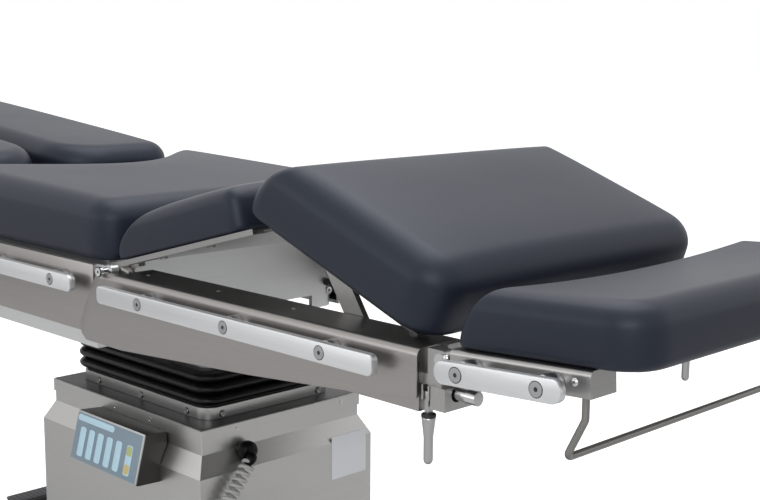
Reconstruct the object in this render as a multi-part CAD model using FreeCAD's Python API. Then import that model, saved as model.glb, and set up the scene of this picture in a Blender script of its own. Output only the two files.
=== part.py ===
import FreeCAD, Part
import math
import os

os.makedirs("parts", exist_ok=True)
V = FreeCAD.Vector

# Millimetres. X runs to the head end, Z is up from the floor. X is drawn from the column's centre,
# and at export everything moves so that the origin is under the middle of the whole length.
# Every side piece is drawn on the near side, where Y is negative, and mirrored to the far side.

# Fits
RUNNING = 0.05
SLIDE_GAP = 0.5
SOFT_GAP = 0.3

# Base and castors
BASE_LENGTH = 920.0
BASE_WIDTH = 480.0
BASE_ABOVE_WHEELS = 28.0
BASE_HEIGHT = 42.0
BASE_CORNER = 60.0
BASE_CHAMFER = 8.0
CASTOR_END_GAP = 75.0
CASTOR_SIDE_GAP = 62.0
CASTOR_TRAIL = 26.0
WHEEL_RADIUS = 40.0
WHEEL_WIDTH = 24.0
HUB_RADIUS = 27.0
AXLE_RADIUS = 5.0
STEM_RADIUS = 9.0
STEM_LENGTH = 27.0
FORK_CHEEK = 5.0
PEDAL_REACH = 85.0
PEDAL_WIDTH = 150.0

# Column housing
HOUSING_LENGTH = 450.0
HOUSING_WIDTH = 352.0
HOUSING_BODY_HEIGHT = 252.0
SHOULDER_IN = 16.0
SHOULDER_RISE = 30.0
BAND_HEIGHT = 17.0
LIP_HEIGHT = 22.0
LIP_OUT = 2.0
HOUSING_WALL = 40.0

# Telescopic column and bellows
INNER_COLUMN_LENGTH = 170.0
INNER_COLUMN_WIDTH = 120.0
MID_COLUMN_WALL = 18.0
MID_COLUMN_RISE = 65.0
MID_COLUMN_DROP = 16.0
INNER_COLUMN_RISE = 70.0
INNER_COLUMN_HEAD = 12.0
COLLAR_LENGTH = 352.0
COLLAR_WIDTH = 252.0
COLLAR_HEIGHT = 18.0
COLLAR_CORNER = 22.0
COLLAR_WALL = 26.0
STRIP_THICK = 3.0
FOLD_OUT = 12.0
BELLOWS_DROP = 46.0
FLANGE_THICK = 6.0
SCREW_HEAD_RADIUS = 4.0
SCREW_HEAD_HEIGHT = 2.0

# Tilt cross between column and seat frame
TILT_DROP = 70.0
TRUNNION_RADIUS = 12.0
CHEEK_OUT = 75.0
CHEEK_THICK = 15.0
CHEEK_HALF_LENGTH = 26.0

# Seat frame
FRAME_HALF_WIDTH = 262.0
CASING_INSET = 47.0
CASING_WALL = 8.0
TUBE_WALL = 5.0
CASING_CORNER = 28.0
SEAT_LEFT = -440.0
SEAT_RIGHT = 95.0
END_WALL_ARCH = (160.0, 22.5)
SEAT_BEAM_HEIGHT = 126.0
SEAT_BEAM_TOP = 720.0
SHEET_THICK = 4.5
SEAT_SHEET_RISE = 22.0

# Accessory rails, the standard 25 by 10 section
RAIL_HEIGHT = 25.0
RAIL_THICK = 10.0
RAIL_GAP = 23.0
RAIL_CORNER = 8.0
STANDOFF_RADIUS = 13.0
SEAT_RAIL_DROP = 15.5
SEAT_RAIL_SCREWS = (-370.0, -170.0, 20.0)
TORSO_RAIL_DROP = 12.0
TORSO_RAIL_SCREWS = (250.0, 441.0, 623.0)
HEAD_RAIL_SCREWS = (49.0, 156.0)
RAIL_SCREW_RADIUS = 8.0
RAIL_SCREW_PROUD = 0.6

# Torso frame
PIN_REACH = 29.0
PIN_DROP = 6.0
PIN_RADIUS = 5.0
KNUCKLE_RADIUS = 8.5
EAR_INSET = 4.0
EAR_THICK = 12.0
EAR_GAP = 2.0
TORSO_LENGTH = 633.0
TORSO_BEAM_START = 26.0
TORSO_BEAM_WIDTH = 70.0
TORSO_BEAM_HEIGHT = 72.0
TORSO_BEAM_DROP = 8.0
TORSO_SHEET_THICK = 2.5
TORSO_EDGE_RADIUS = 9.0
TORSO_SHEET_GAP = 1.0
TORSO_SHEET_OUTLINE = (
    (-12, 0), (-28, -22), (-50, -57), (-62, -84), (-60, -98), (-48, -107), (43, -107),
    (336, -87), (470, -75), (534, -69), (TORSO_LENGTH, -56), (TORSO_LENGTH, 0),
)
TOP_SCREW_X = (212.0, 345.0, 520.0)

# Folding ridge
RIDGE_LOWER_TILT = 14.8
RIDGE_UPPER_TILT = 20.3
RIDGE_ARM = 358.0
RIDGE_PIN_RISE = 3.5
RIDGE_PIN_RADIUS = 3.0
RIDGE_EYE_RADIUS = 5.0
PLATE_START = 26.0
RIDGE_FEET_X = (100.0, 215.0)
RIDGE_PLATE_THICK = 4.0
RIDGE_RAIL_HEIGHT = 8.0
UPPER_PLATE_RISE = 7.0
ROLLER_RADIUS = 6.0
ROLLER_GAP = 1.2
LEVER_PIVOT_X = 619.0
LEVER_PIVOT_RISE = 12.0
LEVER_LENGTH = 143.0
LEVER_ANGLE = 124.0
LEVER_HALF_WIDTH = 15.0
LEVER_THICK = 8.0

# Head section
HEAD_PIVOT_OUT = 30.0
HEAD_PIVOT_DROP = 9.0
HEAD_TILT = 3.3
HEAD_BEAM_LENGTH = 186.0
HEAD_BEAM_START = 14.0
HEAD_BEAM_WIDTH = 42.0
HEAD_BEAM_HEIGHT = 28.0
HEAD_EDGE_RADIUS = 6.0
HEAD_FRAME_PROUD = 2.0
HEAD_EAR_INSET = 17.0
HEAD_EAR_THICK = 14.0
HEAD_EAR_RADIUS = 10.5
HEAD_PIN_RADIUS = 6.0
HEAD_RAIL_DROP = 4.0
SOCKET_INSET = 17.0
SOCKET_DROP = 39.0
SOCKET_BELOW = 18.0
SOCKET_ABOVE = 8.0
SOCKET_RADIUS = 9.6
PEG_RADIUS = 7.0
PEG_REACH = 55.0
PEG_CAP_RADIUS = 8.0
PEG_CAP_LENGTH = 14.0
CLAMP_OUT = 9.5
CLAMP_INSET = 2.0
CLAMP_DROP = 3.0
CLAMP_LENGTH = 81.0
CLAMP_PIN_RADIUS = 2.5
CLAMP_EYE = 6.0
CLAMP_LINK = 22.5
CLAMP_RING_RADIUS = 8.5
CLAMP_RING_THICK = 4.0
CLAMP_ROD_RADIUS = 5.4
CLAMP_CONE = 20.0
CLAMP_CHEEK = 2.5
BOW_RADIUS = 4.0
BOW_INSET = 19.0
BOW_LEG_OUT = 179.0
BOW_KNEE_DROP = 32.0
BOW_BAR_OUT = 156.0
BOW_BAR_DROP = 77.0
BOW_BEND = 10.0

# Leg sections
LEG_PIVOT_OUT = 22.0
LEG_PIVOT_DROP = 12.0
LEG_TILT = 5.3
LEG_ARM_INSET = 27.0
LEG_KNUCKLE_RADIUS = 12.0
LEG_KNUCKLE_WIDTH = 15.0
LEG_EAR_THICK = 12.0
LEG_SWING_X = -36.0
LEG_SWING_RADIUS = 8.0
LEG_LENGTH = 742.0
LEG_PAD_INNER_Y = 15.0

# Pads
PAD_CORNER = 45.0
PAD_TOP_ROUND = 20.0
PAD_BOTTOM_ROUND = 6.0
SEAT_PAD_PAST_PIN = 14.0
SEAT_PAD_UNDERCUT = 14.0
SEAT_PAD_RISE = 3.5
SEAT_PAD_THICK = 91.5
NOTCH_DEPTH = 122.0
NOTCH_SIDE = 72.0
NOTCH_ROUND = 35.0
LOWER_PAD_LEFT = 38.0
LOWER_PAD_RIGHT = 318.0
LOWER_PAD_THICK = 70.0
LOWER_PAD_LIP = 14.0
LOWER_PAD_SLANT = 62.0
UPPER_PAD_LEFT = -30.0
UPPER_PAD_RIGHT = 295.0
UPPER_PAD_THICK = 84.0
HEAD_PAD_LEFT = 22.0
HEAD_PAD_RIGHT = 258.0
HEAD_PAD_THICK = 66.0
LEG_PAD_THICK = 96.0

# Control box, plate, cord and handset on the housing
CONTROL_LEFT = -64.0
CONTROL_RIGHT = 123.0
CONTROL_TOP_OUT = 25.0
CONTROL_TOP_RISE = 52.0
CONTROL_BOTTOM_OUT = 44.5
CONTROL_BOTTOM_DROP = 24.0
KEYPAD_MARGIN = 7.0
KEYPAD_THICK = 1.0
PLATE_SIDE_GAP = 51.0
PLATE_DROP = 27.0
PLATE_WIDTH = 76.0
PLATE_HEIGHT = 72.0
PLATE_THICK = 0.6
GLAND_Y = -84.0
GLAND_RISE = 25.0
GLAND_PROUD = 5.0
GLAND_RADIUS = 15.0
CORD_RADIUS = 12.0
CORD_ROUTE = (V(18, -12, -9), V(19, -29, -28), V(18, -68, -77), V(18, -68, -155))
HANDSET_THICK = 24.0
HANDSET_WIDTH = 48.0
HANDSET_HEIGHT = 110.0
HOLDER_WALL = 5.0
HOLDER_HEIGHT = 57.0

# Sizes that follow from the ones above
BASE_BOTTOM = 2 * WHEEL_RADIUS + BASE_ABOVE_WHEELS
BASE_TOP = BASE_BOTTOM + BASE_HEIGHT
PEDAL_Z = (BASE_BOTTOM + BASE_TOP) / 2
HOUSING_BODY_TOP = BASE_TOP + HOUSING_BODY_HEIGHT
MID_COLUMN_BOTTOM = BASE_TOP + MID_COLUMN_RISE
INNER_COLUMN_BOTTOM = BASE_TOP + INNER_COLUMN_RISE
SEAT_BEAM_BOTTOM = SEAT_BEAM_TOP - SEAT_BEAM_HEIGHT
BELLOWS_TOP = SEAT_BEAM_BOTTOM - BELLOWS_DROP
INNER_COLUMN_TOP = BELLOWS_TOP + INNER_COLUMN_HEAD
TILT_Z = SEAT_BEAM_TOP - TILT_DROP
SEAT_SHEET_BOTTOM = SEAT_BEAM_BOTTOM + SEAT_SHEET_RISE
SEAT_RAIL_TOP = SEAT_BEAM_TOP - SEAT_RAIL_DROP
SEAT_PAD_BOTTOM = SEAT_BEAM_TOP + SEAT_PAD_RISE
SEAT_PAD_TOP = SEAT_PAD_BOTTOM + SEAT_PAD_THICK
PIN_Z = SEAT_BEAM_TOP - PIN_DROP
TORSO_BEAM_TOP = SEAT_BEAM_TOP - TORSO_BEAM_DROP
TORSO_BEAM_BOTTOM = TORSO_BEAM_TOP - TORSO_BEAM_HEIGHT
TORSO_RAIL_TOP = TORSO_BEAM_TOP - TORSO_RAIL_DROP
LEVER_PIVOT_Z = TORSO_BEAM_BOTTOM + LEVER_PIVOT_RISE
HEAD_PIVOT_Z = TORSO_BEAM_TOP - HEAD_PIVOT_DROP
SOCKET_Z = HEAD_PIVOT_Z - SOCKET_DROP
SOCKET_BOTTOM = SOCKET_Z - SOCKET_BELOW
SOCKET_TOP = SOCKET_Z + SOCKET_ABOVE
CLAMP_Z = SOCKET_Z - CLAMP_DROP
CLAMP_BOTTOM = CLAMP_Z - CLAMP_LENGTH
BOW_KNEE_Z = HEAD_PIVOT_Z - BOW_KNEE_DROP
BOW_BAR_Z = HEAD_PIVOT_Z - BOW_BAR_DROP
LEG_PIVOT_Z = SEAT_BEAM_TOP - LEG_PIVOT_DROP
CASTOR_X = BASE_LENGTH / 2 - CASTOR_END_GAP
CASTOR_Y = BASE_WIDTH / 2 - CASTOR_SIDE_GAP
CASING_HALF_WIDTH = FRAME_HALF_WIDTH - CASING_INSET
RAIL_INNER_Y = FRAME_HALF_WIDTH + RAIL_GAP
RAIL_OUTER_Y = RAIL_INNER_Y + RAIL_THICK
PIN_X = SEAT_RIGHT + PIN_REACH
TORSO_RIGHT = PIN_X + TORSO_LENGTH
HEAD_PIVOT_X = TORSO_RIGHT + HEAD_PIVOT_OUT
PEG_END_X = TORSO_RIGHT + PEG_REACH
CLAMP_X = TORSO_RIGHT + CLAMP_OUT
BOW_LEG_X = HEAD_PIVOT_X + BOW_LEG_OUT
BOW_BAR_X = HEAD_PIVOT_X + BOW_BAR_OUT
TORSO_BEAM_LEFT = PIN_X + TORSO_BEAM_START
SEAT_RAIL_LEFT = SEAT_LEFT + 10
SEAT_RAIL_RIGHT = SEAT_RIGHT - 19
TORSO_RAIL_LEFT = PIN_X + 24
TORSO_RAIL_RIGHT = TORSO_RIGHT - 46
HEAD_FRAME_HALF_WIDTH = FRAME_HALF_WIDTH + HEAD_FRAME_PROUD
SOCKET_Y = FRAME_HALF_WIDTH - SOCKET_INSET
CLAMP_Y = FRAME_HALF_WIDTH - CLAMP_INSET
BOW_Y = FRAME_HALF_WIDTH - BOW_INSET
LEG_PIVOT_X = SEAT_LEFT - LEG_PIVOT_OUT
LEG_ARM_Y = FRAME_HALF_WIDTH - LEG_ARM_INSET
PAD_HALF_WIDTH = FRAME_HALF_WIDTH
NOTCH_HALF_WIDTH = FRAME_HALF_WIDTH - NOTCH_SIDE
SEAT_PAD_RIGHT = PIN_X + SEAT_PAD_PAST_PIN
CONTROL_TOP = (-HOUSING_WIDTH / 2 - CONTROL_TOP_OUT, HOUSING_BODY_TOP + CONTROL_TOP_RISE)
CONTROL_BOTTOM = (-HOUSING_WIDTH / 2 - CONTROL_BOTTOM_OUT, HOUSING_BODY_TOP - CONTROL_BOTTOM_DROP)
PLATE_Y = HOUSING_WIDTH / 2 - PLATE_SIDE_GAP
PLATE_Z = HOUSING_BODY_TOP - PLATE_DROP
GLAND_AT = V(HOUSING_LENGTH / 2, GLAND_Y, HOUSING_BODY_TOP + GLAND_RISE)
CORD_POINTS = [GLAND_AT + step for step in CORD_ROUTE]
HOUSING_TOP = HOUSING_BODY_TOP + SHOULDER_RISE + BAND_HEIGHT + LIP_HEIGHT
MID_COLUMN_TOP = HOUSING_TOP - MID_COLUMN_DROP
COLLAR_TOP = HOUSING_TOP + COLLAR_HEIGHT
MID_LENGTH = INNER_COLUMN_LENGTH + 2 * MID_COLUMN_WALL
MID_WIDTH = INNER_COLUMN_WIDTH + 2 * MID_COLUMN_WALL
SEAT_SHEET_OUTER_Y = FRAME_HALF_WIDTH + SHEET_THICK
TORSO_SHEET_INNER_Y = SEAT_SHEET_OUTER_Y + TORSO_SHEET_GAP
TORSO_SHEET_OUTER_Y = TORSO_SHEET_INNER_Y + TORSO_SHEET_THICK
TORSO_BEAM_INNER_Y = TORSO_SHEET_OUTER_Y - TORSO_BEAM_WIDTH
HEAD_BEAM_TOP = HEAD_BEAM_HEIGHT / 2
ROLLER_Z = TORSO_BEAM_TOP + ROLLER_RADIUS + ROLLER_GAP
ROLLER_RISE = ROLLER_Z - PIN_Z - RIDGE_PIN_RISE


def box(x0, x1, y0, y1, z0, z1):
    return Part.makeBox(x1 - x0, y1 - y0, z1 - z0, V(x0, y0, z0))


def centred_box(length, width, z0, z1):
    return box(-length / 2, length / 2, -width / 2, width / 2, z0, z1)


def rod(radius, start, end):
    run = end - start
    return Part.makeCylinder(radius, run.Length, start, run)


def cross_rod(radius, x, z, y0, y1):
    return rod(radius, V(x, y0, z), V(x, y1, z))


def upright(edge):
    if len(edge.Vertexes) != 2:
        return False
    run = edge.Vertexes[1].Point - edge.Vertexes[0].Point
    return abs(abs(run.z) - run.Length) < 1e-6


def round_upright(shape, radius):
    return shape.makeFillet(radius, [edge for edge in shape.Edges if upright(edge)])


def edges_at(shape, z):
    def level(edge):
        return abs(edge.BoundBox.ZMin - z) < 1e-6 and abs(edge.BoundBox.ZMax - z) < 1e-6

    return [edge for edge in shape.Edges if level(edge)]


def outer_top_edge(shape, y, z):
    def on_line(edge):
        bounds = edge.BoundBox
        return max(abs(bounds.YMin - y), abs(bounds.YMax - y), abs(bounds.ZMin - z)) < 1e-6

    return [edge for edge in shape.Edges if on_line(edge)]


def side_profile(points, y0, y1):
    corners = [V(x, y0, z) for x, z in points]
    face = Part.Face(Part.makePolygon(corners + corners[:1]))
    return face.extrude(V(0, y1 - y0, 0))


def end_profile(points, x0, x1):
    corners = [V(x0, y, z) for y, z in points]
    face = Part.Face(Part.makePolygon(corners + corners[:1]))
    return face.extrude(V(x1 - x0, 0, 0))


def fused(first, *others):
    return first.multiFuse(list(others)).removeSplitter()


def mirrored(shape):
    return shape.mirror(V(0, 0, 0), V(0, 1, 0))


def both_sides(shape):
    return Part.makeCompound([shape, mirrored(shape)])


def ear_span(place):
    outer = FRAME_HALF_WIDTH - EAR_INSET - place * (EAR_THICK + EAR_GAP)
    return -outer, EAR_THICK - outer


def inset(depth):
    return depth - FRAME_HALF_WIDTH


def placed(shape, x, z, tilt):
    moved = shape.copy()
    moved.rotate(V(0, 0, 0), V(0, -1, 0), tilt)
    moved.translate(V(x, 0, z))
    return moved


def on_pin(shape):
    return placed(shape, PIN_X, PIN_Z, RIDGE_LOWER_TILT)


def ridge_pin():
    lift = math.radians(RIDGE_LOWER_TILT)
    x = PIN_X + RIDGE_ARM * math.cos(lift) - RIDGE_PIN_RISE * math.sin(lift)
    z = PIN_Z + RIDGE_ARM * math.sin(lift) + RIDGE_PIN_RISE * math.cos(lift)
    return x, z


def on_ridge(shape):
    x, z = ridge_pin()
    return placed(shape, x, z, -RIDGE_UPPER_TILT)


def on_head(shape):
    return placed(shape, HEAD_PIVOT_X, HEAD_PIVOT_Z, HEAD_TILT)


def on_leg(shape):
    return placed(shape, LEG_PIVOT_X, LEG_PIVOT_Z, -LEG_TILT)


def rolled_along(points, radius, bend):
    edges = []
    start = points[0]
    for before, corner, after in zip(points, points[1:], points[2:]):
        into = (corner - before).normalize()
        out = (after - corner).normalize()
        half_turn = into.getAngle(out) / 2
        set_back = bend(before, corner, after) * math.tan(half_turn)
        first = corner - into * set_back
        last = corner + out * set_back
        inward = (out - into).normalize()
        depth = bend(before, corner, after) * (1 / math.cos(half_turn) - 1)
        edges.append(Part.LineSegment(start, first).toShape())
        edges.append(Part.Arc(first, corner + inward * depth, last).toShape())
        start = last
    edges.append(Part.LineSegment(start, points[-1]).toShape())
    path = Part.Wire(edges)
    section = Part.Wire(Part.makeCircle(radius, points[0], points[1] - points[0]))
    tube = path.makePipeShell([section], True, False)
    return tube, path.Length


def pad(x0, x1, z0, z1, y0=-PAD_HALF_WIDTH, y1=PAD_HALF_WIDTH):
    block = round_upright(box(x0, x1, y0, y1, z0, z1), PAD_CORNER)
    block = block.makeFillet(PAD_TOP_ROUND, edges_at(block, z1))
    return block.makeFillet(PAD_BOTTOM_ROUND, edges_at(block, z0))


def base_cover():
    cover = round_upright(centred_box(BASE_LENGTH, BASE_WIDTH, BASE_BOTTOM, BASE_TOP), BASE_CORNER)
    cover = cover.makeChamfer(BASE_CHAMFER, edges_at(cover, BASE_TOP))
    for x in (-CASTOR_X, CASTOR_X):
        for y in (-CASTOR_Y, CASTOR_Y):
            bore = rod(STEM_RADIUS + RUNNING, V(x, y, BASE_BOTTOM - 1), V(x, y, BASE_BOTTOM + STEM_LENGTH))
            cover = cover.cut(bore)
    lug_x = -BASE_LENGTH / 2
    for y in (-PEDAL_WIDTH / 4, PEDAL_WIDTH / 4):
        lug = box(lug_x - 18, lug_x + 2, y - 6, y + 6, PEDAL_Z - 9, PEDAL_Z + 9)
        cover = cover.fuse(lug)
    pivot = cross_rod(AXLE_RADIUS, lug_x - 10, PEDAL_Z, -PEDAL_WIDTH / 4 - 22, PEDAL_WIDTH / 4 + 22)
    return cover.fuse(pivot).removeSplitter()


def brake_pedal():
    pivot_x = -BASE_LENGTH / 2 - 10
    arms = []
    for side in (-1, 1):
        y = side * (PEDAL_WIDTH / 4 + 14)
        arm = box(pivot_x - PEDAL_REACH, pivot_x, y - 6, y + 6, PEDAL_Z - 5, PEDAL_Z + 5)
        hub = cross_rod(9, pivot_x, PEDAL_Z, y - 6, y + 6)
        arms.append(arm.fuse(hub))
    tread_x = pivot_x - PEDAL_REACH
    tread = box(tread_x - 14, tread_x + 26, -PEDAL_WIDTH / 2, PEDAL_WIDTH / 2, PEDAL_Z - 5, PEDAL_Z + 5)
    tread = round_upright(tread, 12)
    bore = cross_rod(AXLE_RADIUS + RUNNING, pivot_x, PEDAL_Z, -PEDAL_WIDTH, PEDAL_WIDTH)
    return fused(tread, *arms).cut(bore)


def castor_fork(x, y):
    half = WHEEL_WIDTH / 2 + SLIDE_GAP
    crown_top = BASE_BOTTOM - SLIDE_GAP
    crown_bottom = crown_top - 14
    crown = rod(23, V(0, 0, crown_bottom), V(0, 0, crown_top))
    stem = rod(STEM_RADIUS, V(0, 0, crown_top - 1), V(0, 0, BASE_BOTTOM + STEM_LENGTH - 1))
    outline = (
        (-CASTOR_TRAIL - 10, WHEEL_RADIUS - 8), (-CASTOR_TRAIL + 10, WHEEL_RADIUS - 8),
        (18, crown_bottom), (18, crown_bottom + 4), (-22, crown_bottom + 4), (-22, crown_bottom),
    )
    cheek = side_profile(outline, -half - FORK_CHEEK, -half)
    axle = cross_rod(AXLE_RADIUS, -CASTOR_TRAIL, WHEEL_RADIUS, -half - FORK_CHEEK, half + FORK_CHEEK)
    fork = fused(crown, stem, cheek, mirrored(cheek), axle)
    fork.translate(V(x, y, 0))
    return fork


def castor_wheel(x, y):
    half = WHEEL_WIDTH / 2
    tyre = cross_rod(WHEEL_RADIUS, 0, WHEEL_RADIUS, -half, half)
    tyre = tyre.makeFillet(5, [edge for edge in tyre.Edges if len(edge.Vertexes) == 1])
    hub = cross_rod(HUB_RADIUS, 0, WHEEL_RADIUS, -half, half)
    bore = cross_rod(AXLE_RADIUS + RUNNING, 0, WHEEL_RADIUS, -half, half)
    wheel = Part.makeCompound([tyre.cut(hub), hub.cut(bore)])
    wheel.translate(V(x - CASTOR_TRAIL, y, 0))
    return wheel


def housing_section(inset, z):
    half_x = HOUSING_LENGTH / 2 - inset
    half_y = HOUSING_WIDTH / 2 - inset
    corners = [V(-half_x, -half_y, z), V(half_x, -half_y, z), V(half_x, half_y, z), V(-half_x, half_y, z)]
    return Part.makePolygon(corners + corners[:1])


def column_housing():
    body = centred_box(HOUSING_LENGTH, HOUSING_WIDTH, BASE_TOP, HOUSING_BODY_TOP)
    shoulder_top = HOUSING_BODY_TOP + SHOULDER_RISE
    shoulder = Part.makeLoft(
        [housing_section(0, HOUSING_BODY_TOP), housing_section(SHOULDER_IN, shoulder_top)], True, True)
    neck_length = HOUSING_LENGTH - 2 * SHOULDER_IN
    neck_width = HOUSING_WIDTH - 2 * SHOULDER_IN
    band = centred_box(neck_length, neck_width, shoulder_top, HOUSING_TOP)
    lip = centred_box(
        neck_length + 2 * LIP_OUT, neck_width + 2 * LIP_OUT, HOUSING_TOP - LIP_HEIGHT, HOUSING_TOP)
    well = centred_box(
        MID_LENGTH + 2 * SLIDE_GAP, MID_WIDTH + 2 * SLIDE_GAP, BASE_TOP + HOUSING_WALL, HOUSING_TOP)
    return fused(body, shoulder, band, lip).cut(well)


def bellows_collar():
    outer = round_upright(centred_box(COLLAR_LENGTH, COLLAR_WIDTH, HOUSING_TOP, COLLAR_TOP), COLLAR_CORNER)
    inner = centred_box(
        COLLAR_LENGTH - 2 * COLLAR_WALL, COLLAR_WIDTH - 2 * COLLAR_WALL, HOUSING_TOP, COLLAR_TOP)
    return outer.cut(inner)


def collar_strips():
    half_x = COLLAR_LENGTH / 2
    half_y = COLLAR_WIDTH / 2
    run_x = half_x - COLLAR_CORNER - 4
    run_y = half_y - COLLAR_CORNER - 4
    z0 = HOUSING_TOP + 1
    z1 = COLLAR_TOP - 1
    solids = []
    long_strip = box(-run_x, run_x, -half_y - STRIP_THICK, -half_y, z0, z1)
    end_strip = box(half_x, half_x + STRIP_THICK, -run_y, run_y, z0, z1)
    solids += [long_strip, mirrored(long_strip)]
    solids += [end_strip, end_strip.mirror(V(0, 0, 0), V(1, 0, 0))]
    mid = (z0 + z1) / 2
    face_y = half_y + STRIP_THICK
    face_x = half_x + STRIP_THICK
    for x in (-0.7 * run_x, 0, 0.7 * run_x):
        for side in (-1, 1):
            start = V(x, side * face_y, mid)
            solids.append(rod(SCREW_HEAD_RADIUS, start, start + V(0, side * SCREW_HEAD_HEIGHT, 0)))
    for y in (-0.7 * run_y, 0.7 * run_y):
        for side in (-1, 1):
            start = V(side * face_x, y, mid)
            solids.append(rod(SCREW_HEAD_RADIUS, start, start + V(side * SCREW_HEAD_HEIGHT, 0, 0)))
    return Part.makeCompound(solids)


def bellows():
    length = COLLAR_LENGTH + 2 * FOLD_OUT
    width = COLLAR_WIDTH + 2 * FOLD_OUT
    outer = round_upright(centred_box(length, width, COLLAR_TOP, BELLOWS_TOP), COLLAR_CORNER + FOLD_OUT)
    inner = centred_box(
        COLLAR_LENGTH - 2 * COLLAR_WALL, COLLAR_WIDTH - 2 * COLLAR_WALL, COLLAR_TOP, BELLOWS_TOP)
    return outer.cut(inner)


def mid_column():
    outer = centred_box(MID_LENGTH, MID_WIDTH, MID_COLUMN_BOTTOM, MID_COLUMN_TOP)
    inner = centred_box(
        INNER_COLUMN_LENGTH + 2 * SLIDE_GAP, INNER_COLUMN_WIDTH + 2 * SLIDE_GAP,
        MID_COLUMN_BOTTOM, MID_COLUMN_TOP)
    return round_upright(outer, 6).cut(inner)


def lift_column():
    column = centred_box(INNER_COLUMN_LENGTH, INNER_COLUMN_WIDTH, INNER_COLUMN_BOTTOM, INNER_COLUMN_TOP)
    flange = centred_box(
        COLLAR_LENGTH - COLLAR_WALL, COLLAR_WIDTH - COLLAR_WALL, BELLOWS_TOP, BELLOWS_TOP + FLANGE_THICK)
    flange = round_upright(flange, COLLAR_CORNER)
    head = centred_box(INNER_COLUMN_LENGTH, 2 * CHEEK_OUT, BELLOWS_TOP, INNER_COLUMN_TOP)
    bore = cross_rod(TRUNNION_RADIUS + RUNNING, 0, TILT_Z, -CHEEK_OUT, CHEEK_OUT)
    cheek = box(
        -CHEEK_HALF_LENGTH, CHEEK_HALF_LENGTH, -CHEEK_OUT, CHEEK_THICK - CHEEK_OUT, INNER_COLUMN_TOP, TILT_Z)
    top = cross_rod(CHEEK_HALF_LENGTH, 0, TILT_Z, -CHEEK_OUT, CHEEK_THICK - CHEEK_OUT)
    cheek = cheek.fuse(top)
    return fused(column, flange, head, cheek, mirrored(cheek)).cut(bore)


def tilt_cross():
    half = CHEEK_OUT - CHEEK_THICK - SLIDE_GAP
    block = box(-half + 2, half - 2, -half, half, TILT_Z - 20, TILT_Z + 20)
    side_pin = cross_rod(TRUNNION_RADIUS, 0, TILT_Z, -CHEEK_OUT, CHEEK_OUT)
    end_pin = rod(TRUNNION_RADIUS, V(-CHEEK_OUT, 0, TILT_Z), V(CHEEK_OUT, 0, TILT_Z))
    return fused(block, side_pin, end_pin)


def leg_ears():
    ears = []
    inner = LEG_KNUCKLE_WIDTH / 2 + SLIDE_GAP
    for side in (-1, 1):
        near = -LEG_ARM_Y + side * inner
        far = near + side * LEG_EAR_THICK
        y0 = min(near, far)
        y1 = max(near, far)
        arm = box(
            LEG_PIVOT_X, SEAT_LEFT + 12, y0, y1,
            LEG_PIVOT_Z - LEG_KNUCKLE_RADIUS, LEG_PIVOT_Z + LEG_KNUCKLE_RADIUS)
        disc = cross_rod(LEG_KNUCKLE_RADIUS, LEG_PIVOT_X, LEG_PIVOT_Z, y0, y1)
        ears.append(arm.fuse(disc))
    pin = cross_rod(
        PIN_RADIUS, LEG_PIVOT_X, LEG_PIVOT_Z,
        -LEG_ARM_Y - inner - LEG_EAR_THICK, -LEG_ARM_Y + inner + LEG_EAR_THICK)
    return ears + [pin]


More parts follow.
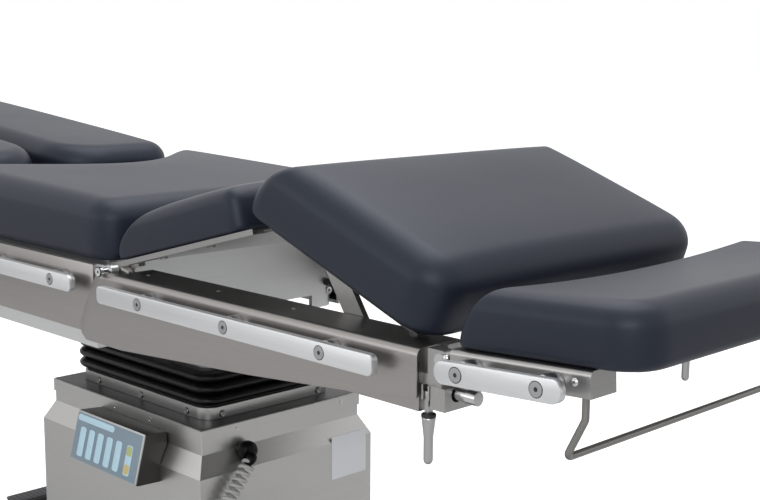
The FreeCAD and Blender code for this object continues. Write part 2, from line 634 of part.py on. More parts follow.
def seat_frame():
    casing = box(
        SEAT_LEFT + 10, SEAT_RIGHT, -CASING_HALF_WIDTH, CASING_HALF_WIDTH, SEAT_BEAM_BOTTOM, SEAT_BEAM_TOP)
    casing = round_upright(casing, CASING_CORNER)
    inner = CASING_HALF_WIDTH - CASING_WALL
    cavity = box(
        SEAT_LEFT + 10 + CASING_WALL, SEAT_RIGHT - CASING_WALL, -inner, inner,
        SEAT_BEAM_BOTTOM, SEAT_BEAM_TOP - 2 * CASING_WALL)
    cavity = round_upright(cavity, CASING_CORNER - CASING_WALL)
    casing = casing.cut(cavity)
    beam = box(
        SEAT_LEFT, SEAT_RIGHT - CASING_CORNER, -FRAME_HALF_WIDTH, -CASING_HALF_WIDTH + 2,
        SEAT_BEAM_BOTTOM, SEAT_BEAM_TOP)
    beam_end = box(
        SEAT_RIGHT - CASING_CORNER, SEAT_RIGHT, -FRAME_HALF_WIDTH, -CASING_HALF_WIDTH - 6,
        SEAT_BEAM_BOTTOM, SEAT_BEAM_TOP)
    ear = box(SEAT_RIGHT - 10, PIN_X, *ear_span(0), PIN_Z - KNUCKLE_RADIUS, SEAT_BEAM_TOP)
    ear_disc = cross_rod(KNUCKLE_RADIUS, PIN_X, PIN_Z, *ear_span(0))
    ear = ear.fuse(ear_disc)
    bearing = box(CHEEK_OUT - CHEEK_THICK, CHEEK_OUT, -32, 32, TILT_Z - 22, SEAT_BEAM_TOP - 2 * CASING_WALL)
    deck = box(
        SEAT_LEFT + NOTCH_DEPTH + 15, SEAT_RIGHT - 5, -CASING_HALF_WIDTH - 20, CASING_HALF_WIDTH + 20,
        SEAT_BEAM_TOP - 1, SEAT_PAD_BOTTOM - SOFT_GAP)
    side = [beam, beam_end, ear] + leg_ears()
    pieces = side + [mirrored(piece) for piece in side]
    pieces += [bearing, bearing.mirror(V(0, 0, 0), V(1, 0, 0))]
    frame = fused(casing, deck, *pieces)
    core = box(
        SEAT_LEFT, SEAT_RIGHT - TUBE_WALL, -FRAME_HALF_WIDTH + TUBE_WALL, -CASING_HALF_WIDTH - TUBE_WALL,
        SEAT_BEAM_BOTTOM + TUBE_WALL, SEAT_BEAM_TOP - TUBE_WALL)
    ear_room = box(SEAT_LEFT, SEAT_LEFT + 20, -FRAME_HALF_WIDTH, 0, LEG_PIVOT_Z - 20, SEAT_BEAM_TOP)
    core = core.cut(ear_room)
    arch_half, arch_rise = END_WALL_ARCH
    arch = box(
        SEAT_RIGHT - CASING_WALL - 1, SEAT_RIGHT + 1, -arch_half, arch_half,
        SEAT_BEAM_BOTTOM - 1, SEAT_BEAM_BOTTOM + arch_rise)
    frame = frame.cut(core).cut(mirrored(core)).cut(arch)
    trunnion_bore = rod(TRUNNION_RADIUS + RUNNING, V(-CHEEK_OUT, 0, TILT_Z), V(CHEEK_OUT, 0, TILT_Z))
    pin_bore = cross_rod(PIN_RADIUS + RUNNING, PIN_X, PIN_Z, -FRAME_HALF_WIDTH, FRAME_HALF_WIDTH)
    return frame.cut(trunnion_bore).cut(pin_bore)


def seat_sheet():
    outline = (
        (SEAT_LEFT, SEAT_SHEET_BOTTOM), (SEAT_RIGHT, SEAT_SHEET_BOTTOM),
        (SEAT_RIGHT, SEAT_BEAM_TOP), (SEAT_LEFT, SEAT_BEAM_TOP),
    )
    return side_profile(outline, -SEAT_SHEET_OUTER_Y, -FRAME_HALF_WIDTH)


def rail(left, right, top, corner):
    bar = box(left, right, -RAIL_OUTER_Y, -RAIL_INNER_Y, top - RAIL_HEIGHT, top)
    ends = [edge for edge in bar.Edges if abs(edge.BoundBox.YLength - RAIL_THICK) < 1e-6]
    return bar.makeFillet(corner, ends)


def rail_fixings(stations, z, inner_y):
    solids = []
    for x in stations:
        solids.append(cross_rod(STANDOFF_RADIUS, x, z, -RAIL_INNER_Y, -inner_y))
        solids.append(cross_rod(RAIL_SCREW_RADIUS, x, z, -RAIL_OUTER_Y - RAIL_SCREW_PROUD, -RAIL_OUTER_Y))
    return solids


def seat_pad():
    left = SEAT_LEFT
    half = PAD_HALF_WIDTH
    corners = [
        V(left, NOTCH_HALF_WIDTH, 0), V(left, half, 0), V(SEAT_PAD_RIGHT, half, 0),
        V(SEAT_PAD_RIGHT, -half, 0), V(left, -half, 0), V(left, -NOTCH_HALF_WIDTH, 0),
    ]
    edges = [Part.LineSegment(a, b).toShape() for a, b in zip(corners, corners[1:])]
    edges.append(Part.Arc(corners[-1], V(left + NOTCH_DEPTH, 0, 0), corners[0]).toShape())
    face = Part.Face(Part.Wire(edges))
    face.translate(V(0, 0, SEAT_PAD_BOTTOM))
    block = face.extrude(V(0, 0, SEAT_PAD_TOP - SEAT_PAD_BOTTOM))

    def corner_edges(y):
        return [edge for edge in block.Edges if upright(edge) and abs(abs(edge.Vertexes[0].Y) - y) < 1e-6]

    block = block.makeFillet(PAD_CORNER, corner_edges(half))
    block = block.makeFillet(NOTCH_ROUND, corner_edges(NOTCH_HALF_WIDTH))
    block = block.makeFillet(PAD_TOP_ROUND, edges_at(block, SEAT_PAD_TOP))
    block = block.makeFillet(PAD_BOTTOM_ROUND, edges_at(block, SEAT_PAD_BOTTOM))
    undercut = (
        (SEAT_PAD_RIGHT - SEAT_PAD_UNDERCUT, SEAT_PAD_BOTTOM), (SEAT_PAD_RIGHT + 1, SEAT_PAD_BOTTOM),
        (SEAT_PAD_RIGHT + 1, SEAT_PAD_BOTTOM + SEAT_PAD_UNDERCUT + 1),
    )
    return block.cut(side_profile(undercut, -half, half))


def leg_knuckle():
    hub = cross_rod(
        LEG_KNUCKLE_RADIUS, 0, 0, -LEG_ARM_Y - LEG_KNUCKLE_WIDTH / 2, -LEG_ARM_Y + LEG_KNUCKLE_WIDTH / 2)
    arm = box(
        LEG_SWING_X - 16, 0, -LEG_ARM_Y - LEG_KNUCKLE_WIDTH / 2, -LEG_ARM_Y + LEG_KNUCKLE_WIDTH / 2,
        -2, LEG_KNUCKLE_RADIUS)
    table = rod(18, V(LEG_SWING_X, -LEG_ARM_Y, 2), V(LEG_SWING_X, -LEG_ARM_Y, 14))
    post = rod(LEG_SWING_RADIUS, V(LEG_SWING_X, -LEG_ARM_Y, 10), V(LEG_SWING_X, -LEG_ARM_Y, 26))
    bore = cross_rod(PIN_RADIUS + RUNNING, 0, 0, -FRAME_HALF_WIDTH, 0)
    return on_leg(fused(hub, arm, table, post).cut(bore))


def leg_frame():
    end = -LEG_LENGTH
    bar = box(end + 120, -14, -LEG_ARM_Y - 20, -LEG_ARM_Y + 20, 14 + SLIDE_GAP, 27)
    plate = box(end + 6, -16, -PAD_HALF_WIDTH + 8, -LEG_PAD_INNER_Y - 8, 27, 27 + RIDGE_PLATE_THICK)
    plate = round_upright(plate, 30)
    bore = rod(LEG_SWING_RADIUS + RUNNING, V(LEG_SWING_X, -LEG_ARM_Y, 0), V(LEG_SWING_X, -LEG_ARM_Y, 27))
    return on_leg(fused(bar, plate).cut(bore))


def leg_pad():
    bottom = 27 + RIDGE_PLATE_THICK + SOFT_GAP
    block = pad(-LEG_LENGTH, -8, bottom, bottom + LEG_PAD_THICK, -PAD_HALF_WIDTH, -LEG_PAD_INNER_Y)
    return on_leg(block)


def torso_beam():
    beam = box(
        TORSO_BEAM_LEFT, TORSO_RIGHT, -TORSO_SHEET_OUTER_Y, -TORSO_BEAM_INNER_Y,
        TORSO_BEAM_BOTTOM, TORSO_BEAM_TOP)
    edge = outer_top_edge(beam, -TORSO_SHEET_OUTER_Y, TORSO_BEAM_TOP)
    beam = beam.makeFillet(TORSO_EDGE_RADIUS, edge)
    core = box(
        TORSO_BEAM_LEFT + TUBE_WALL, TORSO_RIGHT, -TORSO_SHEET_OUTER_Y + TUBE_WALL,
        -TORSO_BEAM_INNER_Y - TUBE_WALL, TORSO_BEAM_BOTTOM + TUBE_WALL, TORSO_BEAM_TOP - TUBE_WALL)
    beam = beam.cut(core)
    outline = [(PIN_X + x, TORSO_BEAM_TOP + z) for x, z in TORSO_SHEET_OUTLINE]
    sheet = side_profile(outline, -TORSO_SHEET_OUTER_Y, -TORSO_SHEET_INNER_Y)
    above = box(TORSO_BEAM_LEFT, TORSO_RIGHT, -TORSO_SHEET_OUTER_Y, -TORSO_SHEET_INNER_Y,
                TORSO_BEAM_TOP - 2 * TORSO_EDGE_RADIUS, TORSO_BEAM_TOP)
    sheet = sheet.cut(above)
    ear = box(PIN_X, TORSO_BEAM_LEFT + 6, *ear_span(1), PIN_Z - KNUCKLE_RADIUS, TORSO_BEAM_TOP)
    ear_disc = cross_rod(KNUCKLE_RADIUS, PIN_X, PIN_Z, *ear_span(1))
    stub = cross_rod(
        6, LEVER_PIVOT_X, LEVER_PIVOT_Z, -TORSO_BEAM_INNER_Y - 1, -TORSO_BEAM_INNER_Y + LEVER_THICK + 6)
    bore = cross_rod(PIN_RADIUS + RUNNING, PIN_X, PIN_Z, -TORSO_SHEET_OUTER_Y, -TORSO_BEAM_INNER_Y)
    return fused(beam, sheet, ear, ear_disc, stub).cut(bore)


def torso_end_side():
    ear_y = inset(HEAD_EAR_INSET - EAR_GAP)
    block = box(TORSO_RIGHT, HEAD_PIVOT_X, -FRAME_HALF_WIDTH, inset(57), SOCKET_TOP, SOCKET_TOP + 12)
    ear_top = HEAD_PIVOT_Z + HEAD_EAR_RADIUS
    ear = box(TORSO_RIGHT + 9, HEAD_PIVOT_X, -FRAME_HALF_WIDTH, ear_y, SOCKET_TOP + 12, ear_top)
    disc = cross_rod(HEAD_EAR_RADIUS, HEAD_PIVOT_X, HEAD_PIVOT_Z, -FRAME_HALF_WIDTH, ear_y)
    socket = box(TORSO_RIGHT + 16, HEAD_PIVOT_X + 8, inset(-3), inset(57), SOCKET_BOTTOM, SOCKET_TOP)
    pieces = [ear, disc, socket]
    inner = CLAMP_EYE / 2 + SLIDE_GAP
    outer = inner + CLAMP_CHEEK
    for x0 in (CLAMP_X - outer, CLAMP_X + inner):
        pieces.append(box(x0, x0 + CLAMP_CHEEK, -CLAMP_Y - 6, -CLAMP_Y + 6, CLAMP_Z - 6, SOCKET_TOP))
    pieces.append(
        rod(CLAMP_PIN_RADIUS, V(CLAMP_X - outer, -CLAMP_Y, CLAMP_Z), V(CLAMP_X + outer, -CLAMP_Y, CLAMP_Z)))
    side = fused(block, *pieces)
    mouth = V(HEAD_PIVOT_X + 8, -SOCKET_Y, SOCKET_Z)
    bore = rod(SOCKET_RADIUS, mouth - V(16, 0, 0), mouth)
    peg_hole = rod(
        PEG_RADIUS + RUNNING, V(TORSO_RIGHT, -SOCKET_Y, SOCKET_Z), V(HEAD_PIVOT_X, -SOCKET_Y, SOCKET_Z))
    pin_bore = cross_rod(HEAD_PIN_RADIUS + RUNNING, HEAD_PIVOT_X, HEAD_PIVOT_Z, -FRAME_HALF_WIDTH, inset(62))
    return side.cut(bore).cut(peg_hole).cut(pin_bore)


def torso_end_frame():
    wall = box(TORSO_RIGHT, TORSO_RIGHT + 8, inset(34), -inset(34), SOCKET_TOP - 17, TORSO_BEAM_TOP - 1)
    side = torso_end_side()
    return fused(wall, side, mirrored(side))


def head_peg():
    shaft = rod(PEG_RADIUS, V(TORSO_RIGHT + 16, -SOCKET_Y, SOCKET_Z), V(PEG_END_X, -SOCKET_Y, SOCKET_Z))
    end = V(PEG_END_X, -SOCKET_Y, SOCKET_Z)
    cap = rod(PEG_CAP_RADIUS, end, end + V(PEG_CAP_LENGTH, 0, 0))
    return shaft.fuse(cap)


def clamp_lever():
    def level(z):
        return V(CLAMP_X, -CLAMP_Y, z)

    half = CLAMP_EYE / 2
    ring_top = CLAMP_Z - CLAMP_LINK
    ring_bottom = ring_top - CLAMP_RING_THICK
    tip_z = CLAMP_BOTTOM + CLAMP_ROD_RADIUS
    link = box(CLAMP_X - half, CLAMP_X + half, -CLAMP_Y - 4, -CLAMP_Y + 4, ring_top, CLAMP_Z)
    eye = rod(4, V(CLAMP_X - half, -CLAMP_Y, CLAMP_Z), V(CLAMP_X + half, -CLAMP_Y, CLAMP_Z))
    ring = rod(CLAMP_RING_RADIUS, level(ring_bottom), level(ring_top))
    cone = Part.makeCone(
        CLAMP_RING_RADIUS - 0.5, CLAMP_ROD_RADIUS, CLAMP_CONE, level(ring_bottom), V(0, 0, -1))
    handle = rod(CLAMP_ROD_RADIUS, level(ring_bottom - CLAMP_CONE), level(tip_z))
    tip = Part.makeSphere(CLAMP_ROD_RADIUS, level(tip_z))
    past_eye = V(half + 1, 0, 0)
    bore = rod(CLAMP_PIN_RADIUS + RUNNING, level(CLAMP_Z) - past_eye, level(CLAMP_Z) + past_eye)
    return fused(link, eye, ring, cone, handle, tip).cut(bore)


def torso_hinge_pin():
    pin = cross_rod(PIN_RADIUS, PIN_X, PIN_Z, -TORSO_SHEET_OUTER_Y - 1, ear_span(3)[0])
    head = cross_rod(7, PIN_X, PIN_Z, -TORSO_SHEET_OUTER_Y - 6, -TORSO_SHEET_OUTER_Y - 1)
    return pin.fuse(head)


def ridge_plate_lower():
    plate_top = RIDGE_RAIL_HEIGHT + 1
    side = box(PLATE_START, RIDGE_ARM - 12, inset(4), inset(22), 1.5, plate_top)
    knuckle = box(0, PLATE_START + 10, *ear_span(2), -2, 4)
    riser = box(PLATE_START, PLATE_START + 10, *ear_span(2), 0, plate_top)
    disc = cross_rod(KNUCKLE_RADIUS, 0, 0, *ear_span(2))
    far_disc = cross_rod(RIDGE_EYE_RADIUS, RIDGE_ARM, RIDGE_PIN_RISE, *ear_span(2))
    plate_bottom = plate_top - RIDGE_PLATE_THICK
    far_arm = box(RIDGE_ARM - 30, RIDGE_ARM, *ear_span(2), RIDGE_PIN_RISE - 1, plate_bottom + 1)
    feet = [rod(6, V(x, inset(34), 0), V(x, inset(34), plate_top - 2)) for x in RIDGE_FEET_X]
    pieces = [side, knuckle, riser, disc, far_disc, far_arm] + feet
    pieces += [mirrored(piece) for piece in pieces]
    plate = box(PLATE_START, RIDGE_ARM - 12, inset(20), -inset(20), plate_bottom, plate_top)
    first_bore = cross_rod(PIN_RADIUS + RUNNING, 0, 0, -FRAME_HALF_WIDTH, FRAME_HALF_WIDTH)
    last_bore = cross_rod(
        RIDGE_PIN_RADIUS + RUNNING, RIDGE_ARM, RIDGE_PIN_RISE, -FRAME_HALF_WIDTH, FRAME_HALF_WIDTH)
    return on_pin(fused(plate, *pieces).cut(first_bore).cut(last_bore))


def ridge_pin_rod():
    pin = cross_rod(RIDGE_PIN_RADIUS, RIDGE_ARM, RIDGE_PIN_RISE, ear_span(2)[0] - 2, ear_span(3)[1] + 4)
    return on_pin(pin)


def ridge_pad_lower():
    bottom = RIDGE_RAIL_HEIGHT + 1 + SOFT_GAP
    top = bottom + LOWER_PAD_THICK
    block = pad(LOWER_PAD_LEFT, LOWER_PAD_RIGHT, bottom, top)
    slant = (
        (LOWER_PAD_LEFT - 1, bottom + LOWER_PAD_LIP), (LOWER_PAD_LEFT, bottom + LOWER_PAD_LIP),
        (LOWER_PAD_LEFT + LOWER_PAD_SLANT, top + 1), (LOWER_PAD_LEFT - 1, top + 1),
    )
    return on_pin(block.cut(side_profile(slant, -PAD_HALF_WIDTH - 1, PAD_HALF_WIDTH + 1)))


def ridge_plate_upper():
    lift = math.radians(RIDGE_UPPER_TILT)
    drop = ridge_pin()[1] + ROLLER_RISE * math.cos(lift) - ROLLER_Z
    reach = drop / math.sin(lift)
    plate = box(12, reach + 18, inset(14), -inset(14), UPPER_PLATE_RISE, UPPER_PLATE_RISE + RIDGE_PLATE_THICK)
    arm = box(0, 30, *ear_span(3), -2, UPPER_PLATE_RISE + 2)
    disc = cross_rod(RIDGE_EYE_RADIUS, 0, 0, *ear_span(3))
    hanger = box(reach - 8, reach + 8, inset(26), inset(50), ROLLER_RISE - 2, UPPER_PLATE_RISE + 2)
    roller = cross_rod(ROLLER_RADIUS, reach, ROLLER_RISE, inset(26), inset(50))
    pieces = [arm, disc, hanger, roller]
    pieces += [mirrored(piece) for piece in pieces]
    bore = cross_rod(RIDGE_PIN_RADIUS + RUNNING, 0, 0, -FRAME_HALF_WIDTH, FRAME_HALF_WIDTH)
    return on_ridge(fused(plate, *pieces).cut(bore))


def ridge_pad_upper():
    bottom = UPPER_PLATE_RISE + RIDGE_PLATE_THICK + SOFT_GAP
    block = pad(UPPER_PAD_LEFT, UPPER_PAD_RIGHT, bottom, bottom + UPPER_PAD_THICK)
    return on_ridge(block)


def lift_lever():
    outer_y = TORSO_BEAM_INNER_Y - 2
    inner_y = outer_y - LEVER_THICK
    bar = box(0, LEVER_LENGTH, -outer_y, -inner_y, -LEVER_HALF_WIDTH, LEVER_HALF_WIDTH)
    tip = cross_rod(LEVER_HALF_WIDTH, LEVER_LENGTH, 0, -outer_y, -inner_y)
    root = cross_rod(LEVER_HALF_WIDTH, 0, 0, -outer_y, -inner_y)
    tube = cross_rod(10, 0, 0, -inner_y - 1, inner_y + 1)
    bore = cross_rod(6 + RUNNING, 0, 0, -outer_y, -inner_y + 8)
    side = fused(bar, tip, root)
    lever = fused(side, mirrored(side), tube).cut(bore).cut(mirrored(bore))
    return placed(lever, LEVER_PIVOT_X, LEVER_PIVOT_Z, LEVER_ANGLE)


def head_frame():
    inner_y = HEAD_FRAME_HALF_WIDTH - HEAD_BEAM_WIDTH
    end = HEAD_BEAM_START + HEAD_BEAM_LENGTH
    beam = box(HEAD_BEAM_START, end, -HEAD_FRAME_HALF_WIDTH, -inner_y, -HEAD_BEAM_TOP, HEAD_BEAM_TOP)
    edge = outer_top_edge(beam, -HEAD_FRAME_HALF_WIDTH, HEAD_BEAM_TOP)
    beam = beam.makeFillet(HEAD_EDGE_RADIUS, edge)
    ear_span_y = (inset(HEAD_EAR_INSET), inset(HEAD_EAR_INSET + HEAD_EAR_THICK))
    ear = box(0, HEAD_BEAM_START + 4, *ear_span_y, -9, 9)
    disc = cross_rod(9.5, 0, 0, *ear_span_y)
    pieces = [beam, ear, disc]
    pieces += [mirrored(piece) for piece in pieces]
    plate = box(HEAD_BEAM_START + 10, end - 10, -inner_y - 2, inner_y + 2, HEAD_BEAM_TOP - 8, HEAD_BEAM_TOP)
    bore = cross_rod(HEAD_PIN_RADIUS + RUNNING, 0, 0, -FRAME_HALF_WIDTH, FRAME_HALF_WIDTH)
    return on_head(fused(plate, *pieces).cut(bore))


def head_rail():
    top = RAIL_HEIGHT / 2 - HEAD_RAIL_DROP
    return on_head(rail(18, 186, top, 12))


def head_fixings():
    fixings = rail_fixings(HEAD_RAIL_SCREWS, -HEAD_RAIL_DROP, HEAD_FRAME_HALF_WIDTH)
    solids = [on_head(solid) for solid in fixings]
    side_screw = cross_rod(6, 180, 3, -HEAD_FRAME_HALF_WIDTH - 4, -HEAD_FRAME_HALF_WIDTH)
    solids.append(on_head(side_screw))
    return solids


def head_hinge_pin():
    pin_end = inset(HEAD_EAR_INSET + HEAD_EAR_THICK + EAR_GAP)
    pin = cross_rod(HEAD_PIN_RADIUS, HEAD_PIVOT_X, HEAD_PIVOT_Z, -FRAME_HALF_WIDTH, pin_end)
    head = cross_rod(8, HEAD_PIVOT_X, HEAD_PIVOT_Z, -FRAME_HALF_WIDTH - 4, -FRAME_HALF_WIDTH)
    return pin.fuse(head)


def head_bow(frame):
    points = [
        V(BOW_LEG_X, -BOW_Y, HEAD_PIVOT_Z), V(BOW_LEG_X, -BOW_Y, BOW_KNEE_Z), V(BOW_BAR_X, -BOW_Y, BOW_BAR_Z),
        V(BOW_BAR_X, BOW_Y, BOW_BAR_Z), V(BOW_LEG_X, BOW_Y, BOW_KNEE_Z), V(BOW_LEG_X, BOW_Y, HEAD_PIVOT_Z),
    ]
    wire, _ = rolled_along(points, BOW_RADIUS, lambda before, corner, after: BOW_BEND)
    return wire.cut(frame)


def head_pad():
    bottom = HEAD_BEAM_TOP + SOFT_GAP
    block = pad(HEAD_PAD_LEFT, HEAD_PAD_RIGHT, bottom, bottom + HEAD_PAD_THICK)
    return on_head(block)


def control_box():
    shoulder_y = -HOUSING_WIDTH / 2
    neck_y = shoulder_y + SHOULDER_IN - LIP_OUT
    outline = (
        (shoulder_y, CONTROL_BOTTOM[1] - 4), (shoulder_y, HOUSING_BODY_TOP),
        (neck_y, HOUSING_BODY_TOP + SHOULDER_RISE), (neck_y, CONTROL_TOP[1] - 3),
        CONTROL_TOP, CONTROL_BOTTOM,
    )
    return end_profile(outline, CONTROL_LEFT, CONTROL_RIGHT)


def keypad():
    fall = V(0, CONTROL_BOTTOM[0] - CONTROL_TOP[0], CONTROL_BOTTOM[1] - CONTROL_TOP[1])
    length = fall.Length
    down = fall.normalize()
    out = V(0, down.z, -down.y)
    top = V(0, *CONTROL_TOP) + down * KEYPAD_MARGIN
    bottom = V(0, *CONTROL_TOP) + down * (length - KEYPAD_MARGIN)
    ring = [top, bottom, bottom + out * KEYPAD_THICK, top + out * KEYPAD_THICK]
    outline = [(point.y, point.z) for point in ring]
    return end_profile(outline, CONTROL_LEFT + KEYPAD_MARGIN, CONTROL_RIGHT - KEYPAD_MARGIN)


def rating_plate():
    face = HOUSING_LENGTH / 2
    return box(
        face, face + PLATE_THICK, PLATE_Y - PLATE_WIDTH / 2, PLATE_Y + PLATE_WIDTH / 2,
        PLATE_Z - PLATE_HEIGHT / 2, PLATE_Z + PLATE_HEIGHT / 2)


def cord_gland(housing):
    start = CORD_POINTS[0]
    out = (CORD_POINTS[1] - start).normalize()
    disc = rod(GLAND_RADIUS, GLAND_AT - V(25, 0, 0), GLAND_AT + V(GLAND_PROUD, 0, 0))
    elbow_centre = start - out * 8
    elbow = Part.makeSphere(CORD_RADIUS + 2, elbow_centre)
    nozzle = rod(CORD_RADIUS + 1, elbow_centre, start)
    cord_side = rod(3 * CORD_RADIUS, start, start + out * CORD_RADIUS)
    return fused(disc, elbow, nozzle).cut(cord_side).cut(housing)


def cord_bend(before, corner, after):
    shorter = min((corner - before).Length, (after - corner).Length)
    half_turn = (corner - before).getAngle(after - corner) / 2
    return 0.45 * shorter / math.tan(half_turn)


def cord():
    tube, length = rolled_along(CORD_POINTS, CORD_RADIUS, cord_bend)
    expected = math.pi * CORD_RADIUS ** 2 * length
    print("cord length %.1f, volume over section times length %.4f" % (length, tube.Volume / expected))
    tightest = min(cord_bend(*corner) for corner in zip(CORD_POINTS, CORD_POINTS[1:], CORD_POINTS[2:]))
    print("cord bend radius %.1f" % tightest)
    return tube


def handset():
    end = CORD_POINTS[-1]
    body = box(
        end.x - HANDSET_THICK / 2, end.x + HANDSET_THICK / 2, end.y - HANDSET_WIDTH / 2,
        end.y + HANDSET_WIDTH / 2, end.z - HANDSET_HEIGHT, end.z)
    return round_upright(body, 8)


def handset_holder():
    end = CORD_POINTS[-1]
    bottom = end.z - HANDSET_HEIGHT
    outer = box(
        HOUSING_LENGTH / 2, end.x + HANDSET_THICK / 2 + HOLDER_WALL,
        end.y - HANDSET_WIDTH / 2 - HOLDER_WALL, end.y + HANDSET_WIDTH / 2 + HOLDER_WALL,
        bottom - HOLDER_WALL, bottom + HOLDER_HEIGHT)
    pocket = box(
        end.x - HANDSET_THICK / 2 - SLIDE_GAP, end.x + HANDSET_THICK / 2 + SLIDE_GAP,
        end.y - HANDSET_WIDTH / 2 - SLIDE_GAP, end.y + HANDSET_WIDTH / 2 + SLIDE_GAP,
        bottom, bottom + HOLDER_HEIGHT)
    return outer.cut(pocket)


def all_nodes():
    nodes = {"base_cover": base_cover(), "brake_pedal": brake_pedal()}
    stations = [(x, y) for x in (-CASTOR_X, CASTOR_X) for y in (-CASTOR_Y, CASTOR_Y)]
    for number, (x, y) in enumerate(stations, 1):
        nodes["castor_fork_%d" % number] = castor_fork(x, y)
        nodes["castor_wheel_%d" % number] = castor_wheel(x, y)
    housing = column_housing()
    nodes["column_housing"] = housing
    nodes["bellows_collar"] = bellows_collar()
    nodes["collar_strips"] = collar_strips()
    nodes["bellows"] = bellows()
    nodes["mid_column"] = mid_column()
    nodes["lift_column"] = lift_column()
    nodes["tilt_cross"] = tilt_cross()
    nodes["seat_frame"] = seat_frame()
    nodes["seat_pad"] = seat_pad()
    rail_z = SEAT_RAIL_TOP - RAIL_HEIGHT / 2
    fixings = rail_fixings(SEAT_RAIL_SCREWS, rail_z, SEAT_SHEET_OUTER_Y)
    nodes["seat_rail_fixings"] = both_sides(Part.makeCompound(fixings))
    nodes["torso_end_frame"] = torso_end_frame()
    rail_z = TORSO_RAIL_TOP - RAIL_HEIGHT / 2
    fixings = rail_fixings(TORSO_RAIL_SCREWS, rail_z, TORSO_SHEET_OUTER_Y)
    for x in TOP_SCREW_X:
        head = V(x, inset(40), TORSO_BEAM_TOP)
        fixings.append(rod(5, head, head + V(0, 0, RAIL_SCREW_PROUD)))
    nodes["torso_rail_fixings"] = both_sides(Part.makeCompound(fixings))
    nodes["torso_hinge_pins"] = both_sides(torso_hinge_pin())
    nodes["ridge_plate_lower"] = ridge_plate_lower()
    nodes["ridge_pad_lower"] = ridge_pad_lower()
    nodes["ridge_plate_upper"] = ridge_plate_upper()
    nodes["ridge_pad_upper"] = ridge_pad_upper()
    nodes["ridge_pins"] = both_sides(ridge_pin_rod())
    nodes["lift_lever"] = lift_lever()
    nodes["head_pegs"] = both_sides(head_peg())
    frame = head_frame()
    nodes["head_frame"] = frame
    nodes["head_fixings"] = both_sides(Part.makeCompound(head_fixings()))
    nodes["head_hinge_pins"] = both_sides(head_hinge_pin())
    nodes["head_bow"] = head_bow(frame)
    nodes["head_pad"] = head_pad()
    sided = {
        "seat_sheet": seat_sheet(),
        "seat_rail": rail(SEAT_RAIL_LEFT, SEAT_RAIL_RIGHT, SEAT_RAIL_TOP, RAIL_CORNER),
        "leg_knuckle": leg_knuckle(),
        "leg_frame": leg_frame(),
        "leg_pad": leg_pad(),
        "torso_beam": torso_beam(),
        "torso_rail": rail(TORSO_RAIL_LEFT, TORSO_RAIL_RIGHT, TORSO_RAIL_TOP, RAIL_CORNER),
        "clamp_lever": clamp_lever(),
        "head_rail": head_rail(),
    }
    for name, shape in sided.items():
        nodes[name + "_near"] = shape
        nodes[name + "_far"] = mirrored(shape)
    nodes["control_box"] = control_box()
    nodes["keypad"] = keypad()
    nodes["rating_plate"] = rating_plate()
    nodes["cord_gland"] = cord_gland(housing)
    nodes["cord"] = cord()
    nodes["handset"] = handset()
    nodes["handset_holder"] = handset_holder()
    return nodes


nodes = all_nodes()
low_x = min(shape.optimalBoundingBox(False).XMin for shape in nodes.values())
high_x = max(shape.optimalBoundingBox(False).XMax for shape in nodes.values())
shift_x = -(low_x + high_x) / 2
print("all shapes moved by %.3f in x, so the origin is under the middle of the length" % shift_x)
for node, shape in sorted(nodes.items()):
    shape.translate(V(shift_x, 0, 0))
    bounds = shape.optimalBoundingBox(False)
    print(
        "%-22s %2d solids valid %s volume %10.0f  x %.1f %.1f  y %.1f %.1f  z %.1f %.1f"
        % (node, len(shape.Solids), shape.isValid(), shape.Volume, bounds.XMin, bounds.XMax,
           bounds.YMin, bounds.YMax, bounds.ZMin, bounds.ZMax))
    shape.exportStep("parts/%s.step" % node)
print("ridge pin before the move at x %.3f z %.3f" % ridge_pin())
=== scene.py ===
import math

import bmesh
import bpy
from mathutils import Matrix, Vector


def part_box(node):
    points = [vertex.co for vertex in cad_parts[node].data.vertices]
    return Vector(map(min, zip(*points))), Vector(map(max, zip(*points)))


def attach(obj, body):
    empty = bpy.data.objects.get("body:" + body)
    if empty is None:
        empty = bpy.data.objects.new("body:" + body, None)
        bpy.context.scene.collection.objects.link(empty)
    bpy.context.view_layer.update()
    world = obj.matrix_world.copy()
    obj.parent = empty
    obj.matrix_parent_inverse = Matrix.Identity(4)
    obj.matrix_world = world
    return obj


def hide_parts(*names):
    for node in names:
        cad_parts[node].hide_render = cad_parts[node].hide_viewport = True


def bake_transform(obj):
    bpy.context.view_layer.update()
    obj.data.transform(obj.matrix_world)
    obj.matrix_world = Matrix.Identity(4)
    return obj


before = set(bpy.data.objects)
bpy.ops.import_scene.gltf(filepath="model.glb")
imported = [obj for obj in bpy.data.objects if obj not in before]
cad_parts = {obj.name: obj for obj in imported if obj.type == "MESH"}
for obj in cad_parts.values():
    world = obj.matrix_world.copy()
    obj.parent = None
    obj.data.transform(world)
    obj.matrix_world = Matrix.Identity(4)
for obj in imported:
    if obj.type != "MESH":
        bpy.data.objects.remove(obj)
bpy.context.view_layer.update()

# Lengths below are millimetres from the column's centre line, X to the head end, Z up from the floor.
# A finished piece is scaled to metres and moved to the column's place in the frame.
# Near is the side with the control box, at negative Y. Each far piece mirrors its near one.
MM = 0.001
COLUMN_X = (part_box("column_housing")[0][0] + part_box("column_housing")[1][0]) / 2
SIDES = ("near", "far")

# Camera of the photograph, with its angles in degrees
CAMERA_AT = (1706.2, -1258.9, 1044.1)
CAMERA_TURN = 45.55
CAMERA_DOWN = 9.23
CAMERA_ROLL = 0.35
CAMERA_LENS = 60.7
SENSOR_WIDTH = 36.0

